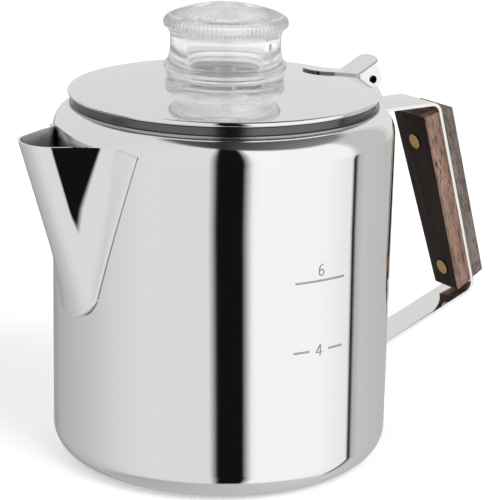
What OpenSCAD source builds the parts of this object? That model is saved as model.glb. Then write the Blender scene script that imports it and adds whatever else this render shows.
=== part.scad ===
// Stovetop coffee percolator in polished sheet steel, with a clear twist-in knob, a wood
// gripped strap handle and the pump, basket and spreader inside.
// Millimetres. +Z is up, the origin is the centre of the base, the spout points along -X
// and the handle and the lid hinge along +X.

/* [Pot body] */
// Outer radius of the pot
pot_r = 62; // [50:1:80]
// Height at which the straight wall ends
wall_h = 121; // [115:1:160]
// Sheet thickness of the pot
pot_wall = 0.8; // [0.6:0.1:1.2]
// Radius of the corner between base and wall
base_round = 10; // [6:0.5:12]
// Radius of the shoulder
shoulder_round = 10; // [6:0.5:12]
// How far the shoulder curves round, in degrees
shoulder_sweep = 66; // [50:1:75]
// Width of the flat step inside the shoulder
step_w = 1.3; // [0.9:0.1:3]
// Height of the neck above the step
neck_h = 2.8; // [2:0.1:6]

/* [Level marks] */
// Height of the lower filling mark
mark_low_z = 54.4; // [40:0.1:60]
// Height of the upper filling mark
mark_high_z = 79.7; // [65:0.1:82]
// How far the marks stand out of the wall
mark_rise = 0.15; // [0.1:0.05:0.4]
// Height of the numerals
numeral_h = 4.2; // [3:0.1:5]

/* [Spout] */
// Height of the top edge of the spout above the end of the straight wall
spout_top_rise = 3.9; // [1:0.1:4.4]
// How far the lip reaches beyond the pot wall
spout_reach = 20.8; // [15:0.1:25]
// How much the lip leans out, in degrees from upright
spout_lean = 17.4; // [12:0.1:20]
// Half angle between the two flanks of the channel, in degrees
spout_flank = 28.2; // [22:0.1:34]
// Radius of the nose of the channel
spout_nose = 12; // [8:0.1:14]
// Half angle of the V of the welded flange, in degrees
flange_angle = 18.2; // [12:0.1:22]
// Radius of the lower tip of the flange
flange_tip_r = 14.5; // [10:0.1:18]
// Height of the lowest point of the flange
flange_low_z = 59.9; // [50:0.1:75]
// Sheet thickness of the spout
spout_sheet = 0.8; // [0.6:0.1:1.2]
// Radius of the pouring holes in the wall behind the spout
strain_r = 1.6; // [1:0.1:2]

/* [Handle] */
// Thickness of the handle strap
strap_t = 1.2; // [1:0.1:2]
// Width of the strap at the top
strap_top_w = 19.6; // [16:0.1:24]
// Width of the strap at the bottom
strap_low_w = 14; // [11:0.1:18]
// How far the upper bend stands out from the pot wall
handle_top_reach = 30.7; // [24:0.1:40]
// How far the lower bend stands out from the pot wall
handle_low_reach = 55.8; // [45:0.1:62]
// Height of the top strap above the end of the straight wall
handle_top_rise = 1.8; // [0:0.1:1.9]
// Height of the lower bend
handle_low_z = 43.5; // [34:0.1:52]
// Height at which the lower strap meets the wall
handle_root_z = 22.8; // [16:0.1:30]
// Outer radius of the bends in the strap
strap_bend_r = 5; // [3:0.1:7]
// Length of the tabs that are welded to the wall
weld_tab_h = 12; // [8:0.5:12]
// Thickness of the inner grip
grip_in_t = 7.3; // [5:0.1:9]
// Thickness of the outer grip
grip_out_t = 5.2; // [4:0.1:8]
// Distance of the upper rivet from the upper bend
rivet_top_gap = 11.4; // [8:0.1:16]
// Distance of the lower rivet from the lower bend
rivet_low_gap = 7.4; // [6:0.1:16]
// Radius of the rivet heads
rivet_head_r = 3.3; // [2.5:0.1:4]
// Radius of the rivet shanks
rivet_r = 1.6; // [1.2:0.1:2]

/* [Lid] */
// How far the lid's edge stands out past the neck
lid_overhang = 1.8; // [1.7:0.1:3]
// Rise of the domed lid
lid_rise = 4.9; // [3:0.1:8]
// Sheet thickness of the lid
lid_wall = 0.7; // [0.5:0.1:1]
// Radius of the rolled edge of the lid
bead_r = 0.95; // [0.8:0.05:1.2]
// Height of the lid's top edge above the neck
lid_stand = 2.1; // [1.9:0.1:3]
// Depth of the skirt below the neck's rim
skirt_h = 7; // [4:0.5:10]
// Clearance between the skirt and the neck
skirt_gap = 0.6; // [0.4:0.05:1]

/* [Hinge] */
// Distance of the hinge pin from the lid's edge
hinge_out = 6.6; // [6:0.1:8]
// Radius of the hinge pin
pin_r = 1.5; // [1.2:0.1:1.8]
// Running clearance of the ears on the pin
pin_gap = 0.05; // [0.03:0.01:0.1]
// Width of the hinge leaf
leaf_w = 11; // [9:0.5:16]
// Sheet thickness of the leaf and its ears
leaf_t = 0.8; // [0.6:0.1:1]
// How far the leaf reaches inwards over the lid
leaf_reach = 20.8; // [16:0.1:26]
// Slope of the thumb tab, in degrees
tab_slope = 27; // [20:1:32]
// Length of the thumb tab
tab_l = 11.6; // [10:0.1:14]
// Radius of the ears round the pin
ear_r = 4.2; // [3.5:0.1:4.5]

/* [Knob] */
// Radius of the top rim of the knob
knob_rim_r = 22.5; // [20:0.1:26]
// Radius of the waist of the knob
knob_waist_r = 19.9; // [19:0.1:22]
// Radius of the foot of the knob
knob_foot_r = 21.9; // [21:0.1:24]
// Height of the knob above the lid
knob_h = 26.3; // [22:0.1:32]
// Radius of the neck that passes through the lid
knob_neck_r = 16.5; // [14:0.1:17]
// Wall thickness of the knob
knob_wall = 2.6; // [2:0.1:3]
// Reach of the two bayonet lugs past the neck
lug_reach = 2.6; // [2:0.1:3]
// Width of the lugs
lug_w = 12; // [8:0.5:14]

/* [Pump] */
// Outer radius of the pump tube
tube_r = 4; // [3:0.1:5]
// Wall of the pump tube
tube_wall = 0.5; // [0.4:0.1:0.8]
// Height of the tube above the neck's rim
tube_rise = 5.4; // [3:0.1:12]
// Radius of the bell at the foot of the pump
bell_r = 30; // [24:0.5:40]
// Height of the bell
bell_h = 13; // [11:0.5:16]
// Sheet thickness of the bell
bell_wall = 0.7; // [0.5:0.1:1]
// Radius of the water port in the bell's floor plate
port_r = 4; // [3:0.1:5]
// Radius of the loose valve disc
valve_r = 7; // [6:0.1:9]

/* [Basket] */
// How far the underside of the basket hangs below the end of the straight wall
basket_drop = 37; // [31:0.5:39]
// Height of the basket
basket_h = 31; // [22:0.5:32]
// Clearance between the basket and the neck that it passes through
basket_gap = 9.9; // [4:0.1:14]
// Sheet thickness of the basket and the spreader
basket_wall = 0.6; // [0.5:0.1:0.8]
// Radius of the holes in the basket floor
basket_hole_r = 1.2; // [0.8:0.1:1.4]
// Height of the sleeve in the middle of the basket
sleeve_h = 24; // [16:0.5:26]
// Clearance between the tube and what slides on it
slide_gap = 0.25; // [0.2:0.05:0.4]
// Depth of the spreader plate below the basket's rim
spreader_drop = 4; // [3:0.5:6]

/* [Hidden] */
$fn = 96;
tiny = 0.1;               // gap between resting faces of different bodies
weld_gap = 0.05;          // gap between the pot wall and what is welded to it
through = 400;            // longer than anything that is cut through

// Pot: heights and radii that everything else sits on
shoulder_c = pot_r - shoulder_round;
shoulder_top_z = wall_h + shoulder_round * sin(shoulder_sweep);
step_top_z = shoulder_top_z + pot_wall;
neck_r = shoulder_c + shoulder_round * cos(shoulder_sweep) - step_w;
neck_in_r = neck_r - pot_wall;
neck_top_z = step_top_z + neck_h;

// Lid: a cap of a sphere between the knob's hole and the rolled edge
lid_r = neck_r + lid_overhang;
bead_c = lid_r - bead_r;
lid_edge_z = neck_top_z + lid_stand;
dome_r = (bead_c * bead_c + lid_rise * lid_rise) / (2 * lid_rise);
dome_c_z = lid_edge_z + lid_rise - dome_r;
skirt_r = neck_in_r - skirt_gap;
knob_hole_r = knob_neck_r + 0.3;
lug_r = knob_neck_r + lug_reach;
lug_h = 2.2;              // thickness of the lugs
lug_top_z = dome_z(lug_r) - lid_wall - 0.3;

// Spout
spout_r = pot_r + weld_gap + spout_sheet;   // outer face of the flange
spout_top_z = wall_h + spout_top_rise;
blend_top = 3.5;          // width of the bend from flank to flange at the top
blend_low = 7.5;          // the widest that this bend gets further down
blend_grow = 0.18;        // how much it widens for each millimetre down
corner_ease = 1.5;        // rounding of the flange's upper corners
corner_drop = 2.2;        // how far these corners lie below the lip

// Hinge
hinge_x = lid_r + hinge_out;
hinge_z = neck_top_z;
knuckle_r = pin_r + 1.1;
ear_in = leaf_w / 2 - leaf_t;
bracket_w = 2 * (ear_in - 0.3);
bracket_foot_a = 42;      // where the bracket's foot sits on the shoulder, in degrees
tab_foot = [lid_r - 0.4, dome_z(lid_r - 0.4)];
tab_tip = tab_foot + tab_l * [cos(tab_slope), sin(tab_slope)];

// Handle: the outer face of the strap, in the plane of the handle
handle_path = [
  [pot_r + 0.3, wall_h + handle_top_rise],
  [pot_r + handle_top_reach, wall_h + handle_top_rise],
  [pot_r + handle_low_reach, handle_low_z],
  [pot_r + 0.3, handle_root_z]];
leg = handle_path[2] - handle_path[1];
leg_l = norm(leg);
leg_angle = atan2(leg.y, leg.x);
leg_start = setback(handle_path, 1);
leg_end = leg_l - setback(handle_path, 2);
head_t = 1.4;             // thickness of a rivet head
head_proud = 0.35;        // how far a head stands out of the wood

// Pump and basket
pump_z = pot_wall + tiny;  // underside of the bell
tube_top_z = neck_top_z + tube_rise;
floor_plate_z = pump_z + 4;
valve_z = floor_plate_z + bell_wall;
basket_z = wall_h - basket_drop;
basket_r = neck_in_r - basket_gap;
basket_top_z = basket_z + basket_h;
sleeve_in_r = tube_r + slide_gap;
sleeve_r = sleeve_in_r + basket_wall;
plug_r = basket_r - basket_wall - slide_gap;
rim_r = 1;                // radius of the basket's rolled rim
rim_c = basket_r - basket_wall + rim_r;     // its inner edge is flush with the wall
spreader_z = basket_top_z + rim_r + tiny;

// Height of the top of the dome at radius r
function dome_z(r) = dome_c_z + sqrt(dome_r * dome_r - r * r);

// Direction from p to q
function along(p, q) = (q - p) / norm(q - p);

// Distance from corner i of a path to the start of its bend
function setback(path, i) =
  let (u = along(path[i - 1], path[i]), v = along(path[i], path[i + 1]))
  strap_bend_r * tan(acos(u * v) / 2);

// A flat strip bent along a path that turns right; the path is its outer face
module bent_strip(path, t) {
  last = len(path) - 1;
  for (i = [0 : last - 1]) {
    u = along(path[i], path[i + 1]);
    from = i == 0 ? 0 : setback(path, i);
    to = i == last - 1 ? 0 : setback(path, i + 1);
    translate(path[i] + u * from)
      rotate(atan2(u.y, u.x))
        translate([0, -t])
          square([norm(path[i + 1] - path[i]) - from - to, t]);
  }
  for (i = [1 : last - 1]) {
    u = along(path[i - 1], path[i]);
    v = along(path[i], path[i + 1]);
    c = path[i] - u * setback(path, i) + [u.y, -u.x] * strap_bend_r;
    nu = [-u.y, u.x];
    nv = [-v.y, v.x];
    far = 2 * strap_bend_r;
    lap = 0.01;             // lets each bend run into the straight lengths beside it
    intersection() {
      translate(c)
        difference() {
          circle(r = strap_bend_r);
          circle(r = strap_bend_r - t);
        }
      polygon([c - lap * u, c + far * nu - lap * u, c + far * (nu + nv),
               c + far * nv + lap * v, c + lap * v]);
    }
  }
}

// A ring sector between two angles, as thick as the sheet, inside radius r
module sheet_arc(r, t, a0, a1) {
  far = 2 * r;
  mid = (a0 + a1) / 2;
  intersection() {
    difference() {
      circle(r = r);
      circle(r = r - t);
    }
    polygon([[0, 0], far * [cos(a0), sin(a0)], far * [cos(mid), sin(mid)],
             far * [cos(a1), sin(a1)]]);
  }
}

// Turns an outline in the handle's plane (x outwards, y up) into a solid of width w
module upright(w) {
  rotate([90, 0, 0])
    linear_extrude(height = w, center = true)
      children();
}

// ---- Pot -------------------------------------------------------------------------------

module pot_section() {
  square([pot_r - base_round, pot_wall]);
  translate([pot_r - base_round, base_round])
    sheet_arc(base_round, pot_wall, -90, 0);
  translate([pot_r - pot_wall, base_round])
    square([pot_wall, wall_h - base_round]);
  translate([shoulder_c, wall_h])
    sheet_arc(shoulder_round, pot_wall, 0, shoulder_sweep);
  translate([neck_in_r, shoulder_top_z - pot_wall])
    square([step_w + pot_wall, 2 * pot_wall]);
  translate([neck_in_r, shoulder_top_z])
    square([pot_wall, neck_top_z - shoulder_top_z]);
}

// Pouring holes: rows that narrow downwards like the channel in front of them
module strainer_holes() {
  pitch = 4.6 * strain_r;
  first_z = wall_h - pitch;
  rows = floor((first_z - flange_low_z - 1.5 * pitch) / pitch);
  for (row = [0 : rows]) {
    z = first_z - row * pitch;
    half = floor(channel_half(z) / pitch - 0.5);
    for (col = [-half : 1 : half])
      rotate([0, 0, 180 + col * pitch / pot_r * 180 / PI])
        translate([pot_r - 3, 0, z])
          rotate([0, 90, 0])
            cylinder(r = strain_r, h = 6, $fn = 24);
  }
}

module stroke(w, h) {
  square([w, h], center = true);
}

// Numerals for the filling marks, drawn in a cell of height 1
module numeral_6() {
  line = 0.15;
  difference() {
    translate([0, 0.29]) circle(r = 0.29, $fn = 32);
    translate([0, 0.29]) circle(r = 0.29 - line, $fn = 32);
  }
  translate([-0.29 + line / 2, 0.5]) stroke(line, 0.42);
  intersection() {
    translate([0, 0.71]) difference() {
      circle(r = 0.29, $fn = 32);
      circle(r = 0.29 - line, $fn = 32);
    }
    translate([0, 0.87]) stroke(0.58, 0.32);
  }
}

module numeral_4() {
  line = 0.15;
  translate([0.12, 0.5]) stroke(line, 1);
  translate([0, 0.3]) stroke(0.66, line);
  polygon([[-0.33, 0.3], [-0.33, 0.38], [0.12, 1], [0.12, 0.78], [-0.2, 0.3]]);
}

// Raised filling marks on the front: a full line with its numeral over it, and two dashes
// with the numeral between them
module level_marks() {
  line = 0.9;
  long = 20.7;
  dash = 6.2;
  intersection() {
    difference() {
      cylinder(r = pot_r + mark_rise, h = wall_h);
      cylinder(r = pot_r - pot_wall / 2, h = wall_h);
    }
    rotate([90, 0, 0])
      linear_extrude(height = pot_r + 1) {
        translate([0, mark_high_z]) stroke(long, line);
        translate([0, mark_high_z + 1.8]) scale(numeral_h) numeral_6();
        for (side = [-1, 1])
          translate([side * (long - dash) / 2, mark_low_z]) stroke(dash, line);
        translate([0, mark_low_z - numeral_h / 2]) scale(numeral_h) numeral_4();
      }
  }
}

module pot_body() {
  color("silver") {
    difference() {
      rotate_extrude() pot_section();
      strainer_holes();
    }
    level_marks();
  }
}

// ---- Spout -----------------------------------------------------------------------------

// Reach of the nose from the pot's axis at height z
function nose_x(z) = pot_r + spout_reach - (spout_top_z - z) * tan(spout_lean);

// Distance of the flank behind the nose, at the distance t to the side
function nose_drop(t) =
  let (turn_t = spout_nose * cos(spout_flank))
  abs(t) < turn_t
    ? spout_nose - sqrt(spout_nose * spout_nose - t * t)
    : spout_nose * (1 - sin(spout_flank)) + (abs(t) - turn_t) / tan(spout_flank);

// Half width of the channel where it leaves the wall
function channel_half(z) =
  let (open = max(0, nose_x(z) - pot_r), turn_t = spout_nose * cos(spout_flank),
       turn_x = spout_nose * (1 - sin(spout_flank)))
  open < turn_x
    ? sqrt(2 * spout_nose * open - open * open)
    : turn_t + (open - turn_x) * tan(spout_flank);

// Half width of the flange along the wall, with a round tip and eased upper corners
function flange_half(z) =
  let (c = flange_low_z + flange_tip_r, turn_z = c - flange_tip_r * sin(flange_angle),
       e = corner_ease, over = max(0, z - spout_top_z + e))
  z < turn_z
    ? sqrt(max(0, flange_tip_r * flange_tip_r - (c - z) * (c - z)))
    : flange_tip_r * cos(flange_angle) + (z - turn_z) * tan(flange_angle)
      - (e - sqrt(max(0, e * e - over * over)));

// The larger of a and b, with a rounded change from one to the other
function soft_max(a, b, w) =
  max(a, b) + pow(max(w - abs(a - b), 0), 2) / (4 * w);

// Width of the bend from the flank to the flange at height z
function blend_w(z) = min(blend_low, blend_top + blend_grow * (spout_top_z - z));

// Outer face of the spout: distance outwards at t to the side and height z
function spout_x(t, z) =
  soft_max(nose_x(z) - nose_drop(t), sqrt(spout_r * spout_r - t * t), blend_w(z));

// The same point, moved inwards through the sheet by the distance d
function spout_point(t, z, d) =
  let (step = 0.05, slope = (spout_x(t + step, z) - spout_x(t - step, z)) / (2 * step),
       n = [1, -slope] / norm([1, -slope]))
  [-(spout_x(t, z) - d * n.x), t - d * n.y, z];

module spout() {
  rows = 22;
  cols = 52;
  low = flange_low_z + 0.05;
  function share(j) = 2 * j / cols - 1;
  function top_z(j) = spout_top_z - corner_drop * pow(max(0, 2 * abs(share(j)) - 1), 1.5);
  function row_z(i, j) = low + (top_z(j) - low) * pow(i / rows, 1.4);
  function col_t(j, z) = spout_r * sin(flange_half(z) * share(j) / spout_r * 180 / PI);
  function grid(d) = [
    for (i = [0 : rows])
      for (j = [0 : cols])
        spout_point(col_t(j, row_z(i, j)), row_z(i, j), d)];
  n = (rows + 1) * (cols + 1);
  function at(i, j) = i * (cols + 1) + j;
  outer = [
    for (i = [0 : rows - 1])
      for (j = [0 : cols - 1])
        each [[at(i, j), at(i + 1, j), at(i + 1, j + 1)],
              [at(i, j), at(i + 1, j + 1), at(i, j + 1)]]];
  inner = [for (f = outer) [f[2] + n, f[1] + n, f[0] + n]];
  sides = [
    for (i = [0 : rows - 1])
      each [[at(i, 0), at(i, 0) + n, at(i + 1, 0) + n],
            [at(i, 0), at(i + 1, 0) + n, at(i + 1, 0)],
            [at(i, cols), at(i + 1, cols), at(i + 1, cols) + n],
            [at(i, cols), at(i + 1, cols) + n, at(i, cols) + n]]];
  ends = [
    for (j = [0 : cols - 1])
      each [[at(0, j), at(0, j + 1), at(0, j + 1) + n],
            [at(0, j), at(0, j + 1) + n, at(0, j) + n],
            [at(rows, j), at(rows, j + 1) + n, at(rows, j + 1)],
            [at(rows, j), at(rows, j) + n, at(rows, j + 1) + n]]];
  color("silver")
    polyhedron(points = concat(grid(0), grid(spout_sheet)),
               faces = concat(outer, inner, sides, ends));
}

// ---- Handle ----------------------------------------------------------------------------

// The strap and its grips taper downwards: this block is what their widths leave
module taper() {
  rotate([90, 0, 90])
    linear_extrude(height = through)
      polygon([[-strap_low_w / 2, 0], [strap_low_w / 2, 0],
               [strap_low_w / 2, handle_low_z], [strap_top_w / 2, handle_path[1].y],
               [strap_top_w / 2, wall_h + 20], [-strap_top_w / 2, wall_h + 20],
               [-strap_top_w / 2, handle_path[1].y], [-strap_low_w / 2, handle_low_z]]);
}

// A weld tab: a plate that follows the wall, from height z up
module weld_tab(z) {
  translate([0, 0, z])
    difference() {
      cylinder(r = pot_r + weld_gap + strap_t, h = weld_tab_h);
      translate([0, 0, -1]) cylinder(r = pot_r + weld_gap, h = weld_tab_h + 2);
      translate([-through / 2, -through, -1]) cube([through / 2, 2 * through, weld_tab_h + 2]);
    }
}

// Puts an outline in the leg's own frame: x along the leg from the upper corner, y outwards
module on_leg() {
  translate(handle_path[1]) rotate(leg_angle) children();
}

// Places the children on the axis of each rivet, in the leg's own frame turned upright
module at_rivets() {
  for (x = [leg_start + rivet_top_gap, leg_end - rivet_low_gap])
    translate([handle_path[1].x, 0, handle_path[1].y])
      rotate([0, -leg_angle, 0])
        translate([x, 0, 0])
          children();
}

module handle_strap() {
  color("gainsboro")
    difference() {
      intersection() {
        union() {
          upright(strap_top_w + 2) bent_strip(handle_path, strap_t);
          weld_tab(handle_path[0].y - weld_tab_h);
          weld_tab(handle_root_z + strap_t - weld_tab_h);
        }
        taper();
      }
      at_rivets() cylinder(r = rivet_r, h = 10, center = true, $fn = 32);
    }
}

// Outline of a grip between the distances y0 and y1 from the strap's outer face
module grip_outline(y0, y1) {
  top_cut = tan(5.5);
  low_cut = tan(12);
  x0 = leg_start + 0.1;
  x1 = leg_end - 0.3;
  polygon([[x0 + top_cut * (y0 + strap_t), y0], [x0 + top_cut * (y1 + strap_t), y1],
           [x1 - low_cut * (y1 + strap_t), y1], [x1 - low_cut * (y0 + strap_t), y0]]);
}

// Both heads and the shank of a rivet, along z in the leg's own frame
module rivet() {
  inner_y = strap_t + grip_in_t;
  translate([0, 0, -inner_y - head_proud])
    cylinder(r = rivet_head_r, h = head_t, $fn = 48);
  translate([0, 0, grip_out_t - head_t + head_proud])
    cylinder(r = rivet_head_r, h = head_t, $fn = 48);
  translate([0, 0, -inner_y])
    cylinder(r = rivet_r, h = inner_y + grip_out_t, $fn = 48);
}

module grip(y0, y1) {
  difference() {
    intersection() {
      upright(strap_top_w + 2) on_leg() grip_outline(y0, y1);
      taper();
    }
    at_rivets() rivet();
  }
}

module grip_inner() {
  color("saddlebrown") grip(-strap_t - grip_in_t, -strap_t);
}

module grip_outer() {
  color("sienna") grip(0, grip_out_t);
}

module grip_rivets() {
  color("goldenrod") at_rivets() rivet();
}

// ---- Hinge -----------------------------------------------------------------------------

module hinge_bracket() {
  foot_in = shoulder_round + weld_gap;
  foot_t = 1;               // thickness of the foot plate
  web_t = 1.6;              // thickness of the web up to the knuckle
  foot_a = bracket_foot_a;
  foot = [shoulder_c, wall_h] + (foot_in + foot_t / 2) * [cos(foot_a), sin(foot_a)];
  web = [hinge_x, hinge_z] - foot;
  color("gainsboro")
    difference() {
      union() {
        intersection() {
          rotate_extrude()
            translate([shoulder_c, wall_h])
              sheet_arc(foot_in + foot_t, foot_t, foot_a - 20, foot_a + 16);
          translate([0, -bracket_w / 2, 0]) cube([through, bracket_w, through]);
        }
        upright(bracket_w) {
          translate(foot) rotate(atan2(web.y, web.x)) translate([0, -web_t / 2])
            square([norm(web), web_t]);
          translate([hinge_x, hinge_z]) circle(r = knuckle_r, $fn = 64);
        }
      }
      translate([hinge_x, 0, hinge_z]) rotate([90, 0, 0])
        cylinder(r = pin_r, h = 2 * leaf_w, center = true, $fn = 64);
    }
}

module hinge_pin() {
  proud = 0.4;
  bore_depth = 2.4;
  color("dimgray")
    translate([hinge_x, 0, hinge_z]) rotate([90, 0, 0])
      difference() {
        cylinder(r = pin_r, h = leaf_w + 2 * proud, center = true, $fn = 64);
        for (side = [-1, 1])
          translate([0, 0, side * (leaf_w / 2 + proud)])
            cylinder(r = pin_r - 0.45, h = 2 * bore_depth, center = true, $fn = 48);
      }
}

// Outline of an ear: it hangs from the thumb tab and rounds the pin
module ear_outline() {
  edge = [cos(tab_slope), sin(tab_slope)];
  difference() {
    union() {
      translate([hinge_x, hinge_z]) circle(r = ear_r, $fn = 64);
      polygon([tab_foot + 0.8 * edge - [0, 1], tab_foot + 0.8 * edge,
               tab_foot + (tab_l - 2.2) * edge, [hinge_x + ear_r, hinge_z + 1.4],
               [hinge_x + ear_r - 0.2, hinge_z], [hinge_x, hinge_z - ear_r + 0.2],
               [hinge_x - 0.9 * ear_r, hinge_z - 0.4 * ear_r]]);
    }
    translate([hinge_x, hinge_z]) circle(r = pin_r + pin_gap, $fn = 64);
  }
}

module hinge_leaf() {
  end_x = lid_r - leaf_reach + leaf_w / 2;
  color("gainsboro") {
    // the pad that lies on the dome
    intersection() {
      translate([0, 0, dome_c_z])
        difference() {
          sphere(r = dome_r + leaf_t, $fn = 128);
          sphere(r = dome_r, $fn = 128);
        }
      translate([0, 0, lid_edge_z - 5])
        linear_extrude(height = 30) {
          translate([end_x, 0]) circle(d = leaf_w);
          translate([end_x, -leaf_w / 2]) square([tab_foot.x - end_x, leaf_w]);
        }
    }
    // the thumb tab, with its end rounded in plan
    intersection() {
      upright(leaf_w)
        translate(tab_foot) rotate(tab_slope) square([tab_l, leaf_t]);
      union() {
        translate([tab_tip.x - leaf_w, 0, 0]) cylinder(r = leaf_w, h = through);
        translate([0, -leaf_w / 2, 0]) cube([tab_tip.x - 4, leaf_w, through]);
      }
    }
    // the ears
    for (side = [-1, 1])
      translate([0, side * (leaf_w - leaf_t) / 2, 0])
        upright(leaf_t) ear_outline();
  }
}

// ---- Lid -------------------------------------------------------------------------------

module lid_cover() {
  color("silver")
    difference() {
      rotate_extrude() {
        intersection() {
          translate([0, dome_c_z])
            difference() {
              circle(r = dome_r, $fn = 360);
              circle(r = dome_r - lid_wall, $fn = 360);
            }
          translate([knob_hole_r, lid_edge_z - 2 * bead_r])
            square([bead_c - knob_hole_r, through]);
        }
        translate([bead_c, lid_edge_z - bead_r]) circle(r = bead_r, $fn = 48);
      }
      // notches that let the lugs of the knob through when it is turned a quarter
      intersection() {
        cylinder(r = lug_r + 0.4, h = through);
        translate([-(lug_w + 1) / 2, -through / 2, 0]) cube([lug_w + 1, through, through]);
      }
    }
}

module lid_skirt() {
  sheet = 0.6;
  color("lightgray")
    rotate_extrude()
      intersection() {
        translate([0, dome_c_z]) circle(r = dome_r - lid_wall, $fn = 360);
        union() {
          translate([skirt_r - sheet, neck_top_z - skirt_h])
            square([sheet, skirt_h + lid_stand + lid_rise]);
          translate([skirt_r, neck_top_z + 0.3])
            square([neck_r - 0.4 - skirt_r, sheet]);
        }
      }
}

// ---- Knob ------------------------------------------------------------------------------

module knob_section() {
  base_z = dome_z(knob_hole_r) + 0.15;
  top_z = base_z + knob_h;
  rim_z = top_z - 6.8;          // height of the widest line of the head
  waist_z = base_z + 11.5;      // height of the narrowest line
  foot_z = base_z + 4;          // height of the widest line of the foot
  rim_b = 1.6;                  // radius of the rounding of the rim
  foot_b = 2.2;                 // and of the foot
  cap_h = top_z - rim_z - rim_b;
  cap_w = knob_rim_r - rim_b + 0.2;
  cap_r = (cap_w * cap_w + cap_h * cap_h) / (2 * cap_h);
  neck_z = lug_top_z - lug_h;
  hollow_r = knob_neck_r - knob_wall;
  difference() {
    union() {
      // foot, waist and head
      translate([0, base_z]) square([knob_foot_r - foot_b, foot_z - base_z]);
      translate([knob_foot_r - foot_b, foot_z]) circle(r = foot_b, $fn = 48);
      translate([0, foot_z]) square([knob_waist_r, rim_z - foot_z]);
      translate([knob_rim_r - rim_b, rim_z]) circle(r = rim_b, $fn = 48);
      translate([0, rim_z - rim_b]) square([knob_rim_r - rim_b, 2 * rim_b]);
      intersection() {
        translate([0, top_z - cap_r]) circle(r = cap_r, $fn = 180);
        translate([0, rim_z]) square([cap_w, through]);
      }
      // neck through the lid
      translate([0, neck_z]) square([knob_neck_r, base_z - neck_z + 1]);
    }
    translate([0, neck_z - 1]) square([hollow_r, waist_z - neck_z + 1]);
    translate([0, waist_z - foot_b]) square([hollow_r + 0.8, rim_z - waist_z + foot_b + 1]);
  }
}

module knob() {
  color("white", 0.4) {
    rotate_extrude() knob_section();
    intersection() {
      translate([0, 0, lug_top_z - lug_h])
        difference() {
          cylinder(r = lug_r, h = lug_h);
          translate([0, 0, -1]) cylinder(r = knob_neck_r - 0.5, h = lug_h + 2);
        }
      translate([-through / 2, -lug_w / 2, 0]) cube([through, lug_w, through]);
    }
  }
}

// ---- Pump ------------------------------------------------------------------------------

module pump_tube() {
  low_z = valve_z + 3.5;    // clear of the valve's lift
  color("lightgray")
    translate([0, 0, low_z])
      difference() {
        cylinder(r = tube_r, h = tube_top_z - low_z);
        translate([0, 0, -1]) cylinder(r = tube_r - tube_wall, h = through);
      }
}

module pump_bell() {
  skirt_top = floor_plate_z + 2 * bell_wall + 0.3;
  apex = pump_z + bell_h;
  window = [10, 8, 4];      // water windows in the skirt
  color("lightgray")
    difference() {
      rotate_extrude()
        polygon([[bell_r, pump_z], [bell_r, skirt_top], [tube_r, apex],
                 [tube_r, apex - 1.5 * bell_wall], [bell_r - bell_wall, skirt_top - bell_wall],
                 [bell_r - bell_wall, pump_z]]);
      for (a = [45 : 90 : 315])
        rotate([0, 0, a])
          translate([bell_r, 0, pump_z]) cube(window, center = true);
    }
}

module pump_floor_plate() {
  color("gray")
    translate([0, 0, floor_plate_z])
      difference() {
        cylinder(r = bell_r - bell_wall, h = bell_wall);
        translate([0, 0, -1]) cylinder(r = port_r, h = bell_wall + 2, $fn = 48);
      }
}

module pump_valve() {
  color("darkgray")
    translate([0, 0, valve_z + tiny])
      cylinder(r = valve_r, h = 0.8);
}

module basket_stop() {
  stop_h = 2.5;
  color("gray")
    translate([0, 0, basket_z - tiny - stop_h])
      difference() {
        cylinder(r = tube_r + 2.4, h = stop_h);
        translate([0, 0, -1]) cylinder(r = tube_r, h = stop_h + 2);
      }
}

// ---- Basket and spreader ---------------------------------------------------------------

// Rings of holes through a plate, between the radii r0 and r1
module hole_rings(r0, r1, rings) {
  for (k = [0 : rings - 1]) {
    r = r0 + (r1 - r0) * k / (rings - 1);
    count = 6 + 6 * k;
    for (i = [0 : count - 1])
      rotate([0, 0, (i + k / 2) * 360 / count])
        translate([r, 0, -2]) cylinder(r = basket_hole_r, h = 6, $fn = 24);
  }
}

module basket() {
  color("lightgray")
    difference() {
      translate([0, 0, basket_z])
        rotate_extrude() {
          translate([sleeve_r, 0]) square([basket_r - sleeve_r, basket_wall]);
          translate([basket_r - basket_wall, 0]) square([basket_wall, basket_h]);
          translate([rim_c, basket_h]) circle(r = rim_r, $fn = 32);
        }
      translate([0, 0, basket_z]) hole_rings(11, basket_r - 6, 5);
    }
}

module basket_sleeve() {
  color("gray")
    translate([0, 0, basket_z])
      difference() {
        cylinder(r = sleeve_r, h = sleeve_h);
        translate([0, 0, -1]) cylinder(r = sleeve_in_r, h = sleeve_h + 2);
      }
}

module spreader() {
  dish_z = spreader_z - spreader_drop;
  color("lightgray")
    difference() {
      rotate_extrude() {
        translate([sleeve_r, dish_z]) square([plug_r - sleeve_r, basket_wall]);
        translate([plug_r - basket_wall, dish_z]) square([basket_wall, spreader_drop]);
        translate([plug_r - basket_wall, spreader_z])
          square([rim_c + rim_r - plug_r + basket_wall, basket_wall]);
      }
      translate([0, 0, dish_z]) hole_rings(10, plug_r - 5, 6);
    }
}

module spreader_collar() {
  collar_h = 6;
  color("gray")
    translate([0, 0, spreader_z - spreader_drop])
      difference() {
        cylinder(r = sleeve_r, h = collar_h);
        translate([0, 0, -1]) cylinder(r = sleeve_in_r, h = collar_h + 2);
      }
}

pot_body();
spout();
handle_strap();
grip_inner();
grip_outer();
grip_rivets();
hinge_bracket();
hinge_pin();
lid_cover();
lid_skirt();
hinge_leaf();
knob();
pump_tube();
pump_bell();
pump_floor_plate();
pump_valve();
basket_stop();
basket();
basket_sleeve();
spreader();
spreader_collar();
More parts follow.
